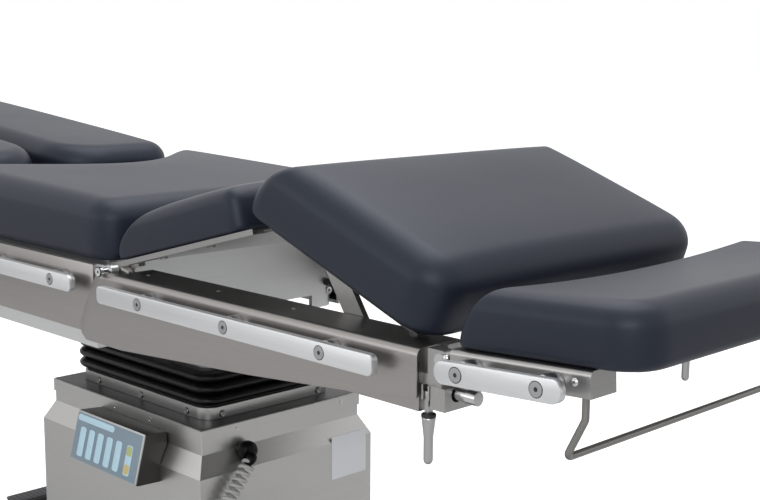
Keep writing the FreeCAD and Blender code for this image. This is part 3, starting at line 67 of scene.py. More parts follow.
# Lights in metres: name, place, aim, width and height, power
LIGHTS = (
    ("overhead", (0.2, 0.4, 3.2), (0.1, 0.0, 0.7), (3.0, 2.2), 55.0),
    ("front fill", (2.6, -2.6, 2.0), (0.3, 0.0, 0.7), (2.0, 1.6), 35.0),
    ("side fill", (-1.2, -3.4, 1.5), (0.0, 0.0, 0.6), (2.2, 1.6), 14.0),
)
AMBIENT = 0.45
FLOOR_SIZE = 40.0
FLOOR_GLOW = 0.68

# Pivots and tilts of the sections
TORSO_PIVOT = (124.0, 714.0)
RIDGE_TILT = 14.8
RIDGE_PIVOT = (469.229, 808.833)
UPPER_TILT = -20.3
HEAD_PIVOT = (787.0, 703.0)
HEAD_TILT = 3.3
LEG_PIVOT = (-462.0, 708.0)
LEG_TILT = -5.3

# Pads. A side bulges where it is within the swell's reach of the edge, and the top is domed to a power.
PAD_HALF_WIDTH = 262.0
SWELL_REACH = 40.0
DOME_POWER = 4.0

# Rails, screws and standoffs
RAIL_OUTER_Y = 295.0
RAIL_INNER_Y = 285.0
RAIL_HEIGHT = 25.0
SCREW_RADIUS = 8.0
STANDOFF_RADIUS = 13.0
SCREW_HEIGHT = 0.6
SCREW_DISH = 0.35

# Side sheets and torso beams. A beam's top edge is bent through a quarter turn, listed in radians.
SHEET_OUTER_Y = 270.0
SHEET_INNER_Y = 267.5
SEAT_SHEET_OUTER_Y = 266.5
SEAT_SHEET_INNER_Y = 262.0
HEAD_FRAME_OUTER_Y = 264.0
HEAD_RIVETS = ((7.0, 3.0), (180.0, 1.0))
SHEET_STEP_Z = 697.0
BEAM_START = 150.0
BEAM_END = 757.0
BEAM_OUTER_Y = 266.0
BEAM_INNER_Y = 200.0
BEAM_BOTTOM = 640.0
BEAM_TOP = 711.8
BEAM_BEND = 9.0
QUARTER_TURN = (0, 0.26, 0.52, 0.79, 1.05, 1.31, 1.57)
TIP_START = 116.0
TORSO_TOP_SCREWS = (183.0, 347.0, 503.0)
TORSO_TOP_SCREW_Y = -228.0
LEVER_PIVOT = (619.0, 652.0)
PIN_HEAD_OUT = 6.2
SEAT_END_X = 95.0

# Housing, with the neck under its lip, and the well that the column stands in
HOUSING_HALF = (225.0, 176.0)
HOUSING_EDGE = 1.5
NECK_HALF = (209.0, 160.0)
LIP_OUT = 2.0
BODY_TOP = 402.0
SHOULDER_TOP = 432.0
LIP_BOTTOM = 449.0
HOUSING_TOP = 471.0
WELL_HALF = (120.0, 80.0)
WELL_BOTTOM = 300.0
STUD_Z = 461.0
STUD_RADIUS = 3.2
END_STUDS_Y = (-96.0, 120.0)
SIDE_STUDS_X = (-20.0, 78.0)

# Collar and bellows. A fold's outline is drawn at each of the listed shares of its height.
COLLAR_HALF = (176.0, 126.0)
COLLAR_CORNER = 22.0
BAND_THICK = 3.0
BAND_BOTTOM = HOUSING_TOP + 1.0
BAND_TOP = HOUSING_TOP + 19.0
MAT_TOP = HOUSING_TOP + 0.5
SIDE_SCREWS_X = (-118.0, 6.0, 130.0)
END_SCREWS_Y = (-98.0, 98.0)
BELLOWS_BOTTOM = 489.0
BELLOWS_TOP = 548.0
BELLOWS_WALL = 28.0
FOLDS = 3
FOLD_IN = 1.0
FOLD_OUT = 12.0
FOLD_REST = 0.25
FOLD_SHARES = (0.0, 0.02, 0.06, 0.13, 0.24, 0.38, 0.5, 0.62, 0.76, 0.87, 0.94, 0.98)

# Curly cord, from the gland on the housing down to the hand control. Its points are metres in the frame.
CORD_POINTS = ((0.320, -0.096, 0.418), (0.321, -0.113, 0.399), (0.320, -0.152, 0.350), (0.320, -0.152, 0.272))
GLAND_AT = (225.0, -84.0, 427.0)
NOZZLE_BACK = 4.0
COIL_RADIUS = 8.9
WIRE_RADIUS = 3.0
COIL_PITCH = 10.4
COIL_STEPS = 16
COIL_EASE = 5.0
HAND_CONTROL_AT = (243.0, -152.0)
HAND_CONTROL_Z = (162.0, 264.0)

# Control box and its sloping face. The keys are placed from the face's middle, Y up the slope.
FACE_TOP = (-201.0, 454.0)
FACE_BOTTOM = (-220.5, 378.0)
FACE_LEFT = -64.0
FACE_RIGHT = 123.0
KEY_COLUMNS = (-68.0, -43.0, -18.0, 8.0, 34.0, 64.0)
KEY_HALF_WIDTH = 8.0
KEY_LOW = -31.0
KEY_HIGH = 16.0
COLOUR_HALF_WIDTH = 7.0
COLOUR_HEIGHT = 15.0
COLOUR_MARGIN = 2.0

# Clamp levers, with the grip hanging from a ring and a link
CLAMP_AT = (766.5, -260.0)
CLAMP_PIVOT_Z = 661.0
CLAMP_LINK = 22.5
CLAMP_GRIP_Z = 580.0

# Base and castors
BASE_HALF = (460.0, 240.0)
BASE_BOTTOM = 108.0
BASE_TOP = 150.0
BASE_CORNER = 60.0
BASE_ROUND = 9.0
CASTOR_AT = (385.0, 178.0)
CASTOR_TRAIL = 26.0
WHEEL_RADIUS = 40.0
WHEEL_HALF_WIDTH = 12.0
TREAD_RIBS = 13
TREAD_PITCH = 10.0


# Shader maths

class Value:
    def __init__(self, tree, socket):
        self.tree = tree
        self.socket = socket

    def joined_with(self, operation, other):
        node = self.tree.nodes.new("ShaderNodeMath")
        node.operation = operation
        for slot, term in zip(node.inputs, (self, other)):
            feed(self.tree, slot, term)
        return Value(self.tree, node.outputs[0])

    def __add__(self, other):
        return self.joined_with("ADD", other)

    __radd__ = __add__

    def __sub__(self, other):
        return self.joined_with("SUBTRACT", other)

    def __mul__(self, other):
        return self.joined_with("MULTIPLY", other)

    __rmul__ = __mul__

    def least(self, other):
        return self.joined_with("MINIMUM", other)


def feed(tree, slot, value):
    if isinstance(value, Value):
        tree.links.new(value.socket, slot)
    else:
        slot.default_value = value


class Finish:
    def __init__(self, name, colour, roughness, metallic=0.0, **constants):
        self.material = bpy.data.materials.new(name)
        self.material.use_nodes = True
        self.tree = self.material.node_tree
        self.shader = self.tree.nodes["Principled BSDF"]
        self.set("Base Color", (*colour, 1.0))
        self.set("Roughness", roughness)
        self.set("Metallic", metallic)
        for constant, value in constants.items():
            self.set(constant.replace("_", " "), value)
        self.place = self.node("ShaderNodeTexCoord", {}, "Object")

    def set(self, name, value):
        feed(self.tree, self.shader.inputs[name], value)

    def node(self, kind, inputs, output=0, **settings):
        node = self.tree.nodes.new(kind)
        for name, value in settings.items():
            setattr(node, name, value)
        for key, value in inputs.items():
            feed(self.tree, node.inputs[key], value)
        return Value(self.tree, node.outputs[output])

    def noise(self, scale, detail=2.0, stretch=(1.0, 1.0, 1.0)):
        stretched = self.node("ShaderNodeMapping", {"Vector": self.place, "Scale": stretch})
        return self.node("ShaderNodeTexNoise", {"Vector": stretched, "Scale": scale, "Detail": detail}, "Fac")

    def spread(self, value, low, high):
        return self.node("ShaderNodeMapRange", {"Value": value, "From Min": low, "From Max": high})

    def blend(self, amount, first, second):
        # A colour mix has its two colours at inputs 6 and 7 and its result at output 2.
        ends = {0: amount, 6: (*first, 1.0), 7: (*second, 1.0)}
        return self.node("ShaderNodeMix", ends, 2, data_type="RGBA")

    def bump(self, height, distance, strength):
        node = self.node("ShaderNodeBump", {"Strength": strength, "Distance": distance, "Height": height})
        self.set("Normal", node)


def dark_and_light(colour, share):
    dark = [channel * (1 - share) for channel in colour]
    light = [min(1.0, channel * (1 + share)) for channel in colour]
    return dark, light


def brushed(name, colour, roughness, along_axes, contrast=0.05):
    finish = Finish(name, colour, roughness, 1.0)
    fine = [900.0, 900.0, 900.0]
    broad = [160.0, 160.0, 160.0]
    for axis in along_axes:
        fine[axis] = 12.0
        broad[axis] = 3.0
    lines = finish.noise(1.0, 3.0, fine)
    bands = finish.noise(1.0, 2.0, broad)
    smudge = finish.noise(6.0, 3.0)
    finish.set("Roughness", roughness + 0.06 * (lines - 0.5) + 0.08 * (smudge - 0.5))
    shade = finish.spread(0.6 * lines + 0.4 * bands, 0.3, 0.7)
    finish.set("Base Color", finish.blend(shade, *dark_and_light(colour, contrast)))
    finish.bump(lines, 0.00003, 0.4)
    return finish.material


def pad_cover():
    colour = (0.012, 0.015, 0.024)
    dark = (0.0105, 0.0135, 0.023)
    light = (0.0145, 0.0185, 0.030)
    finish = Finish("pad cover", colour, 0.45, 0.0, IOR=1.38, Specular_Tint=(0.84, 0.90, 1.0, 1.0))
    grain = finish.noise(950.0, 2.0)
    pores = finish.noise(420.0, 3.0)
    cloud = finish.noise(4.0, 3.0)
    finish.set("Base Color", finish.blend(cloud, dark, light))
    finish.set("Roughness", 0.44 + 0.1 * (cloud - 0.5) + 0.08 * (pores - 0.5))
    finish.bump(0.6 * grain + 0.4 * pores, 0.00012, 0.3)
    return finish.material


def plain(name, colour, roughness, metallic=0.0, grain=300.0, depth=0.00008, variation=0.12, **constants):
    finish = Finish(name, colour, roughness, metallic, **constants)
    fine = finish.noise(grain, 3.0)
    cloud = finish.noise(9.0, 3.0)
    finish.set("Base Color", finish.blend(cloud, *dark_and_light(colour, variation)))
    finish.set("Roughness", roughness + 0.12 * (fine - 0.5) + 0.1 * (cloud - 0.5))
    finish.bump(fine, depth, 0.4)
    return finish.material


# Brushed metals name the axes they are brushed along. Plain finishes end with metal, grain, depth, variation.
COVER = pad_cover()
SHEET = brushed("brushed sheet", (0.34, 0.325, 0.315), 0.36, (0,))
# Darker copy of the brushed sheet for the torso beams' top faces: painted shade under the pads and painted
# reflection of the dark pads above.
PAINTED_SHADE_TOP_SHEET = brushed("brushed sheet, top faces with painted shade", (0.15, 0.147, 0.145), 0.42, (0,))
UPRIGHT_SHEET = brushed("housing sheet", (0.46, 0.455, 0.45), 0.36, (0, 1), 0.03)
RAIL = brushed("satin rail", (0.66, 0.67, 0.68), 0.42, (0,), 0.03)
SCREW = plain("screw steel", (0.42, 0.42, 0.43), 0.3, 1.0, 200.0, 0.00003, 0.05)
BRIGHT = plain("polished steel", (0.55, 0.55, 0.56), 0.2, 1.0, 200.0, 0.00003, 0.05)
STEEL = brushed("machined steel", (0.38, 0.375, 0.37), 0.34, (1,))
CASING_SHEET = brushed("casing sheet", (0.64, 0.645, 0.65), 0.42, (1,), 0.03)
# Near-black finish: the own colour of the black hose and the clamp lever's ring, and painted shade in screw
# sockets and in the dark rings round screw heads.
BLACK_AND_PAINTED_SHADE = plain("black parts and painted socket shade", (0.01, 0.01, 0.01), 0.6)
BAND = brushed("collar strip", (0.42, 0.415, 0.41), 0.3, (0, 1), 0.05)
COVER_SHEET = brushed("base sheet", (0.36, 0.355, 0.35), 0.34, (0,), 0.06)
LEVER = plain("lever metal", (0.40, 0.40, 0.40), 0.3, 1.0, 300.0, 0.00003, 0.05)
WIRE_METAL = plain("bent wire metal", (0.24, 0.235, 0.225), 0.42, 1.0, 300.0, 0.00003, 0.05)
RIM = plain("panel rim", (0.42, 0.43, 0.43), 0.4, 0.6, 300.0, 0.00003, 0.05)
TOP_MAT = plain("dark top mat", (0.012, 0.013, 0.014), 0.4, 0.0, 300.0, 0.00005, 0.1)
BOX_DARK = plain("control box dark", (0.022, 0.02, 0.018), 0.45, 0.0, 600.0, 0.0001, 0.15)
GLAND = plain("gland black", (0.001, 0.001, 0.0015), 0.4, 0.0, 500.0, 0.00005, 0.2, IOR=1.22)
RUBBER = plain("black rubber", (0.002, 0.002, 0.0023), 0.32, 0.0, 500.0, 0.00005, 0.3, IOR=1.33)
COLLAR = plain("collar rubber", (0.03, 0.032, 0.035), 0.5, 0.0, 300.0, 0.0001, 0.2)
TYRE = plain("tyre grey", (0.06, 0.06, 0.065), 0.6, 0.0, 400.0, 0.0002, 0.2)
DARK_STEEL = plain("dark coated steel", (0.05, 0.05, 0.052), 0.45, 0.3, 400.0, 0.0001, 0.15)
GREY_PLASTIC = plain("grey plastic", (0.33, 0.34, 0.35), 0.5, 0.0, 700.0, 0.00015, 0.06)
DARK_PLASTIC = plain("dark plastic", (0.03, 0.03, 0.03), 0.4, 0.0, 700.0, 0.00015, 0.1)
PANEL_BLUE = plain("panel blue", (0.20, 0.275, 0.34), 0.35, 0.0, 300.0, 0.00003, 0.05)
KEY_BLUE = plain("key pale blue", (0.50, 0.72, 0.84), 0.35, 0.0, 300.0, 0.00003, 0.05)
KEY_GREEN = plain("key green", (0.45, 0.52, 0.22), 0.35, 0.0, 300.0, 0.00003, 0.05)
KEY_YELLOW = plain("key yellow", (0.62, 0.50, 0.22), 0.35, 0.0, 300.0, 0.00003, 0.05)
CORD_GREY = plain("cord grey", (0.40, 0.40, 0.395), 0.4, 0.0, 900.0, 0.00005, 0.12)
PLATE = plain("plate film", (0.84, 0.86, 0.90), 0.4, 0.0, 200.0, 0.00002, 0.04)


# Shapes, each a new bmesh in millimetres

def joined(*shapes):
    whole = bmesh.new()
    for shape in shapes:
        mesh = bpy.data.meshes.new("part of a piece")
        shape.to_mesh(mesh)
        whole.from_mesh(mesh)
        bpy.data.meshes.remove(mesh)
        shape.free()
    return whole


def bevelled(shape, edges, size, segments=3):
    bmesh.ops.bevel(
        shape, geom=edges, offset=size, offset_type="OFFSET", segments=segments, profile=0.5,
        affect="EDGES", material=-1, clamp_overlap=True)
    return shape


def sharp_edges(shape, angle):
    return [edge for edge in shape.edges if edge.calc_face_angle(0) > angle]


def along(edge, axis):
    run = edge.verts[1].co - edge.verts[0].co
    return abs(abs(run[axis]) - run.length) < 1e-4


def new_verts(made):
    return [item for item in made["geom"] if isinstance(item, bmesh.types.BMVert)]


def block(low, high, edge=0.8, segments=2, upright=0.0, upright_segments=5):
    shape = bmesh.new()
    bmesh.ops.create_cube(shape, size=1)
    size = [top - bottom for bottom, top in zip(low, high)]
    middle = [(top + bottom) / 2 for bottom, top in zip(low, high)]
    bmesh.ops.scale(shape, vec=size, verts=shape.verts)
    bmesh.ops.translate(shape, vec=middle, verts=shape.verts)
    if upright:
        bevelled(shape, [e for e in shape.edges if along(e, 2)], upright, upright_segments)
    if edge:
        bevelled(shape, sharp_edges(shape, 1.0), edge, segments)
    return shape


def rod(radius, start, end, edge=0.0, sides=32):
    shape = bmesh.new()
    run = Vector(end) - Vector(start)
    bmesh.ops.create_cone(
        shape, cap_ends=True, segments=sides, radius1=radius, radius2=radius, depth=run.length)
    bmesh.ops.translate(shape, vec=(0, 0, run.length / 2), verts=shape.verts)
    if edge:
        bevelled(shape, sharp_edges(shape, 1.0), edge, 3)
    return placed(shape, start, run)


def profile(points, axis, start, end, edge=0.6, segments=2):
    shape = bmesh.new()
    corners = []
    for first, second in points:
        place = {0: (start, first, second), 1: (first, start, second)}[axis]
        corners.append(shape.verts.new(place))
    face = shape.faces.new(corners)
    run = [0.0, 0.0, 0.0]
    run[axis] = end - start
    made = bmesh.ops.extrude_face_region(shape, geom=[face])
    bmesh.ops.translate(shape, vec=run, verts=new_verts(made))
    bmesh.ops.recalc_face_normals(shape, faces=shape.faces)
    if edge:
        bevelled(shape, sharp_edges(shape, 0.5), edge, segments)
    return shape


def turned(points, steps=40):
    shape = bmesh.new()
    verts = [shape.verts.new((radius, 0, height)) for radius, height in points]
    edges = [shape.edges.new(pair) for pair in zip(verts, verts[1:])]
    bmesh.ops.spin(
        shape, geom=verts + edges, axis=(0, 0, 1), cent=(0, 0, 0), angle=2 * math.pi, steps=steps,
        use_merge=True)
    return closed(shape, 0.001)


def closed(shape, distance=0.01):
    bmesh.ops.remove_doubles(shape, verts=shape.verts, dist=distance)
    bmesh.ops.recalc_face_normals(shape, faces=shape.faces)
    return shape


def outline_points(half_x, half_y, corner, z, segments):
    shape = bmesh.new()
    ends = ((-half_x, -half_y), (half_x, -half_y), (half_x, half_y), (-half_x, half_y))
    shape.faces.new([shape.verts.new((x, y, z)) for x, y in ends])
    bmesh.ops.bevel(
        shape, geom=list(shape.verts), offset=corner, offset_type="OFFSET", segments=segments, profile=0.5,
        affect="VERTICES", material=-1)
    points = [v.co.copy() for v in shape.faces[:][0].verts]
    shape.free()
    return points


def sleeve(levels, corner_segments=6):
    shape = bmesh.new()
    rings = []
    for level in levels:
        verts = [shape.verts.new(point) for point in outline_points(*level, corner_segments)]
        rings.append([shape.edges.new(pair) for pair in zip(verts, verts[1:] + verts[:1])])
    for lower, upper in zip(rings, rings[1:]):
        bmesh.ops.bridge_loops(shape, edges=lower + upper)
    return shape, rings


def round_levels(half, corner, steps):
    return [(half[0] + out, half[1] + out, corner + out, z) for out, z in steps]


def square_levels(half, steps):
    return [(half[0] + out, half[1] + out, HOUSING_EDGE, z) for out, z in steps]


def painted(shape, number):
    for face in shape.faces:
        face.material_index = number
    return shape


def moved(shape, step):
    bmesh.ops.transform(shape, matrix=step, verts=shape.verts)
    return shape


def raised(shape, place):
    return moved(shape, Matrix.Translation(place))


def towards(direction):
    return Vector(direction).to_track_quat("Z", "Y").to_matrix().to_4x4()


def placed(shape, place, direction):
    return moved(shape, Matrix.Translation(place) @ towards(direction))


def on(pivot, tilt):
    return Matrix.Translation((pivot[0], 0, pivot[1])) @ Matrix.Rotation(-math.radians(tilt), 4, "Y")


def on_side(side, shape):
    if side == "far":
        bmesh.ops.scale(shape, vec=(1, -1, 1), verts=shape.verts)
        bmesh.ops.reverse_faces(shape, faces=shape.faces)
    return shape


def hex_screw(radius, depth=1.2, sides=24):
    shape = rod(radius, (0, 0, 0), (0, 0, SCREW_HEIGHT), 0.25, sides)
    top = max(shape.faces, key=lambda face: face.calc_center_median().z)
    bmesh.ops.inset_region(shape, faces=[top], thickness=radius * 0.25)
    bmesh.ops.translate(shape, vec=(0, 0, -SCREW_DISH), verts=top.verts[:])
    bmesh.ops.inset_region(shape, faces=[top], thickness=radius * 0.3)
    flat = radius * 0.3
    for vertex in top.verts:
        angle = math.atan2(vertex.co.y, vertex.co.x)
        sector = (angle + math.pi / 6) % (math.pi / 3) - math.pi / 6
        reach = flat / math.cos(sector)
        vertex.co.x = math.cos(angle) * reach
        vertex.co.y = math.sin(angle) * reach
    made = bmesh.ops.extrude_face_region(shape, geom=[top])
    bmesh.ops.translate(shape, vec=(0, 0, -depth), verts=new_verts(made))
    bmesh.ops.delete(shape, geom=[top], context="FACES_ONLY")
    # The socket's faces take the second finish, near-black as painted shade inside the recess.
    for face in shape.faces:
        middle = face.calc_center_median()
        if middle.length < flat * 1.2 and middle.z < 0.2:
            face.material_index = 1
    return shape


# Pieces

def object_from(name, shape, smooth):
    bmesh.ops.scale(shape, vec=(MM, MM, MM), verts=shape.verts)
    bmesh.ops.translate(shape, vec=(COLUMN_X, 0, 0), verts=shape.verts)
    mesh = bpy.data.meshes.new(name)
    shape.to_mesh(mesh)
    shape.free()
    mesh.polygons.foreach_set("use_smooth", [True] * len(mesh.polygons))
    mesh.set_sharp_from_angle(angle=math.radians(smooth))
    made = bpy.data.objects.new(name, mesh)
    bpy.context.scene.collection.objects.link(made)
    return made


def piece(name, shape, body, materials, stands_for=(), smooth=35.0):
    made = object_from(name, shape, smooth)
    for material in materials:
        made.data.materials.append(material)
    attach(made, body)
    if stands_for:
        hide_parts(*stands_for)
    return made


# Pads

# A pad starts as a fine grid on a box. Each of its points is then moved to the rounded form.
def pad_form(left, right, low, high, crown, top_edge, bottom_edge, bulge, cuts, corners,
             half_y=(-PAD_HALF_WIDTH, PAD_HALF_WIDTH), inner_corner=None):
    shape = bmesh.new()
    bmesh.ops.create_cube(shape, size=2)
    bmesh.ops.subdivide_edges(shape, edges=shape.edges, cuts=cuts, use_grid_fill=True)
    half = Vector(((right - left) / 2, (half_y[1] - half_y[0]) / 2, (high - low) / 2))
    middle = Vector(((right + left) / 2, (half_y[1] + half_y[0]) / 2, (high + low) / 2))
    for vertex in shape.verts:
        place = Vector([ease_out(vertex.co[axis]) * half[axis] for axis in range(3)])
        corner = corners[1] if place.x > 0 else corners[0]
        if inner_corner and place.x > 0 and place.y > 0:
            corner = inner_corner
        vertex.co = middle + rounded(place, half, top_edge, bottom_edge, crown, bulge, corner)
    bmesh.ops.recalc_face_normals(shape, faces=shape.faces)
    return shape


def ease_out(share):
    return math.sin(share * math.pi / 2) * 0.6 + share * 0.4


def square_to_round(first, second):
    length = math.hypot(first, second)
    if length < 1e-9:
        return 0.0, 0.0
    reach = max(abs(first), abs(second))
    return first / length * reach, second / length * reach


# Gives a point's place in the outline with round corners, the way out of the pad and the depth inside.
def rounded_outline(place, half, corner):
    core_x = max(-(half.x - corner), min(half.x - corner, place.x))
    core_y = max(-(half.y - corner), min(half.y - corner, place.y))
    turn_x, turn_y = square_to_round(place.x - core_x, place.y - core_y)
    x = core_x + turn_x
    y = core_y + turn_y
    if turn_x and turn_y:
        out = Vector((turn_x, turn_y, 0)).normalized()
        return x, y, out, corner - math.hypot(turn_x, turn_y)
    inside_x = half.x - abs(x)
    inside_y = half.y - abs(y)
    if inside_x < inside_y:
        return x, y, Vector((math.copysign(1, x), 0, 0)), inside_x
    return x, y, Vector((0, math.copysign(1, y), 0)), inside_y


def rounded(place, half, top_edge, bottom_edge, crown, bulge, corner):
    x, y, out, inside = rounded_outline(place, half, corner)
    z = place.z
    edge = top_edge if z > 0 else bottom_edge
    past_out = edge - inside
    past_up = abs(z) - (half.z - edge)
    if past_out > 0 and past_up > 0:
        round_out, round_up = square_to_round(past_out, past_up)
        x -= out.x * (past_out - round_out)
        y -= out.y * (past_out - round_out)
        z = math.copysign(half.z - edge + round_up, z)
    share = (z + half.z) / (2 * half.z)
    swell = bulge * math.sin(math.pi * min(1, share * 1.05)) * max(0.0, 1 - inside / SWELL_REACH)
    x += out.x * swell
    y += out.y * swell
    dome_x = max(0, 1 - (abs(x) / half.x) ** DOME_POWER)
    dome_y = max(0, 1 - (abs(y) / half.y) ** DOME_POWER)
    z += crown * dome_x * dome_y * max(0, share) ** 2
    return Vector((x, y, z))


def slanted_end(shape, low, high, reach, power, length):
    left = min(vertex.co.x for vertex in shape.verts)
    for vertex in shape.verts:
        share = max(0.0, (vertex.co.z - low) / (high - low))
        near_end = max(0.0, 1 - (vertex.co.x - left) / length)
        vertex.co.x += reach * share ** power * near_end


def add_pad(name, shape, body, node):
    made = piece(name, shape, body, [COVER], (node,), 180.0)
    rounding = made.modifiers.new("rounding", "SUBSURF")
    rounding.levels = 1
    rounding.render_levels = 1


def seat_pad():
    left, right, low, crease = -402.0, 124.0, 723.5, 814.0
    slope = 0.036
    slope_end = 125.0
    notch_depth = 190.0
    notch_end = 60.0
    shape = pad_form(
        left, right, low, crease, crown=3.0, top_edge=30.0, bottom_edge=14.0, bulge=3.0, cuts=48,
        corners=(36.0, 44.0))
    for vertex in shape.verts:
        x, y, z = vertex.co
        share = max(0.0, (z - low) / (crease - low))
        vertex.co.z += share * slope * (slope_end - x)
        across = math.cos(math.pi / 2 * min(1.0, abs(y) / PAD_HALF_WIDTH))
        to_legs = max(0.0, (notch_end - x) / (notch_end - left))
        vertex.co.x += notch_depth * max(0.0, across) ** 1.5 * to_legs ** 1.3
    add_pad("seat_cushion", shape, "seat", "seat_pad")


def lower_ridge_pad():
    low, high = 9.4, 68.0
    shape = pad_form(
        36.0, 322.0, low, high, crown=14.0, top_edge=18.0, bottom_edge=8.0, bulge=1.5, cuts=40,
        corners=(10.0, 20.0))
    slanted_end(shape, low + 8, high, reach=76.0, power=1.9, length=190.0)
    moved(shape, on(TORSO_PIVOT, RIDGE_TILT))
    add_pad("ridge_cushion_lower", shape, "ridge_lower", "ridge_pad_lower")


def upper_ridge_pad():
    low, high = 11.4, 101.0
    shape = pad_form(
        -29.0, 302.0, low, high, crown=9.0, top_edge=32.0, bottom_edge=12.0, bulge=3.0, cuts=48,
        corners=(22.0, 46.0))
    slanted_end(shape, 25.0, high, reach=40.0, power=1.6, length=190.0)
    moved(shape, on(RIDGE_PIVOT, UPPER_TILT))
    add_pad("ridge_cushion_upper", shape, "ridge_upper", "ridge_pad_upper")


def head_cushion():
    left, right, low, high = 19.0, 258.0, 14.4, 84.0
    saddle_rise = 14.0
    saddle_drop = 12.0
    shape = pad_form(
        left, right, low, high, crown=0.0, top_edge=26.0, bottom_edge=10.0, bulge=3.0, cuts=44,
        corners=(14.0, 46.0))
    slanted_end(shape, low, high, reach=42.0, power=1.5, length=130.0)
    for vertex in shape.verts:
        x, y, z = vertex.co
        share = max(0.0, (z - low) / (high - low)) ** 2
        to_right = (x - left) / (right - left)
        saddle = saddle_rise * (abs(y) / PAD_HALF_WIDTH) ** 2 - saddle_drop
        vertex.co.z += share * saddle * (1 - to_right)
    moved(shape, on(HEAD_PIVOT, HEAD_TILT))
    add_pad("head_cushion", shape, "head", "head_pad")


def leg_cushion(side):
    shape = pad_form(
        -742.0, 4.0, 31.4, 130.0, crown=4.0, top_edge=32.0, bottom_edge=14.0, bulge=3.0, cuts=48,
        corners=(45.0, 45.0), half_y=(-PAD_HALF_WIDTH, -15.0), inner_corner=104.0)
    moved(shape, on(LEG_PIVOT, LEG_TILT))
    add_pad("leg_cushion_" + side, on_side(side, shape), "leg_" + side, "leg_pad_" + side)


# Rails, screws and standoffs

def rail_bar(left, right, top, corner):
    shape = block((left, -RAIL_OUTER_Y, top - RAIL_HEIGHT), (right, -RAIL_INNER_Y, top), 0.0)
    ends = [edge for edge in shape.edges if along(edge, 1)]
    bevelled(shape, ends, corner, 8)
    return bevelled(shape, sharp_edges(shape, 0.8), 0.7, 2)


def rail_screw(x, z):
    # The thin ring round the head is near-black: a painted shadow at the countersink's edge.
    seat = painted(rod(SCREW_RADIUS + 0.9, (0, 0, -0.5), (0, 0, 0.12), 0.0, 40), 1)
    return placed(joined(seat, hex_screw(SCREW_RADIUS)), (x, -RAIL_OUTER_Y, z), (0, -1, 0))


def standoff(x, z, inner_y):
    return rod(STANDOFF_RADIUS, (x, -inner_y, z), (x, -RAIL_INNER_Y, z), 0.8, 40)


def rails(section, left, right, top, stations, inner_y, corner, tilt=Matrix()):
    centre = top - RAIL_HEIGHT / 2
    fixing_node = "head_fixings" if section == "head" else section + "_rail_fixings"
    for side in SIDES:
        bar = on_side(side, moved(rail_bar(left, right, top, corner), tilt))
        screws = [rail_screw(x, centre) for x in stations]
        standoffs = [standoff(x, centre, inner_y) for x in stations]
        fixings = on_side(side, moved(joined(*screws, *standoffs), tilt))
        rail_node = "%s_rail_%s" % (section, side)
        piece("%s_rail_bar_%s" % (section, side), bar, section, [RAIL], (rail_node,))
        screws_name = "%s_rail_screws_%s" % (section, side)
        piece(screws_name, fixings, section, [SCREW, BLACK_AND_PAINTED_SHADE], (fixing_node,))


# Torso beams with their outer sheets, and the seat's side sheets

def beam_bend():
    low = BEAM_TOP - BEAM_BEND
    return [
        (BEAM_BEND * (1 - math.cos(turn)) - SHEET_OUTER_Y, low + BEAM_BEND * math.sin(turn))
        for turn in QUARTER_TURN]


def torso_skin():
    outline = (
        (112, 712), (96, 690), (74, 655), (62, 628), (64, 614), (76, 605), (167, 605), (460, 625), (594, 637),
        (658, 643), (BEAM_END, 656), (BEAM_END, SHEET_STEP_Z), (TIP_START, SHEET_STEP_Z), (TIP_START, 712))
    skin = profile(outline, 1, -SHEET_OUTER_Y, -SHEET_INNER_Y, 0.0)
    low_edges = [
        edge for edge in skin.edges
        if max(v.co.z for v in edge.verts) < SHEET_STEP_Z - 1 and not along(edge, 1)]
    return bevelled(skin, low_edges, 0.5, 2)


def torso_beam():
    section = [
        (-BEAM_INNER_Y, BEAM_BOTTOM), (-BEAM_OUTER_Y, BEAM_BOTTOM), (-BEAM_OUTER_Y, SHEET_STEP_Z),
        (-SHEET_OUTER_Y, SHEET_STEP_Z), *beam_bend(), (-BEAM_INNER_Y, BEAM_TOP)]
    beam = profile(section, 0, BEAM_START, BEAM_END, 0.0)
    # Faces that look up take the darker sheet, painted shade and painted reflection from the pads above.
    for face in beam.faces:
        if face.normal.z > 0.9:
            face.material_index = 1
    return beam


def torso_tip():
    section = [
        (-BEAM_OUTER_Y, SHEET_STEP_Z), (-SHEET_OUTER_Y, SHEET_STEP_Z), *beam_bend(), (-259.5, 709.5),
        (-264, 706)]
    return profile(section, 0, TIP_START, BEAM_START, 0.0)


def torso_side(side):
    top_screws = [
        painted(raised(hex_screw(4.5), (x, TORSO_TOP_SCREW_Y, BEAM_TOP)), 2) for x in TORSO_TOP_SCREWS]
    ear = profile(((118, 706), (156, 706), (156, BEAM_TOP), (124, 722.5), (116, 718)), 1, -244, -232, 0.8)
    pivot_x, pivot_z = LEVER_PIVOT
    stub = rod(6, (pivot_x, -BEAM_INNER_Y - 1, pivot_z), (pivot_x, -BEAM_INNER_Y + 14, pivot_z), 0.6)
    shape = on_side(side, joined(torso_skin(), torso_beam(), torso_tip(), ear, stub, *top_screws))
    piece(
        "torso_side_" + side, shape, "torso", [SHEET, PAINTED_SHADE_TOP_SHEET, LEVER], ("torso_beam_" + side,),
        30.0)


def seat_side(side):
    outline = ((-440, 616), (SEAT_END_X, 616), (SEAT_END_X, 720), (-440, 720))
    shape = on_side(side, profile(outline, 1, -SEAT_SHEET_OUTER_Y, -SEAT_SHEET_INNER_Y, 0.8))
    piece("seat_side_" + side, shape, "seat", [SHEET], ("seat_sheet_" + side,))


# Housing

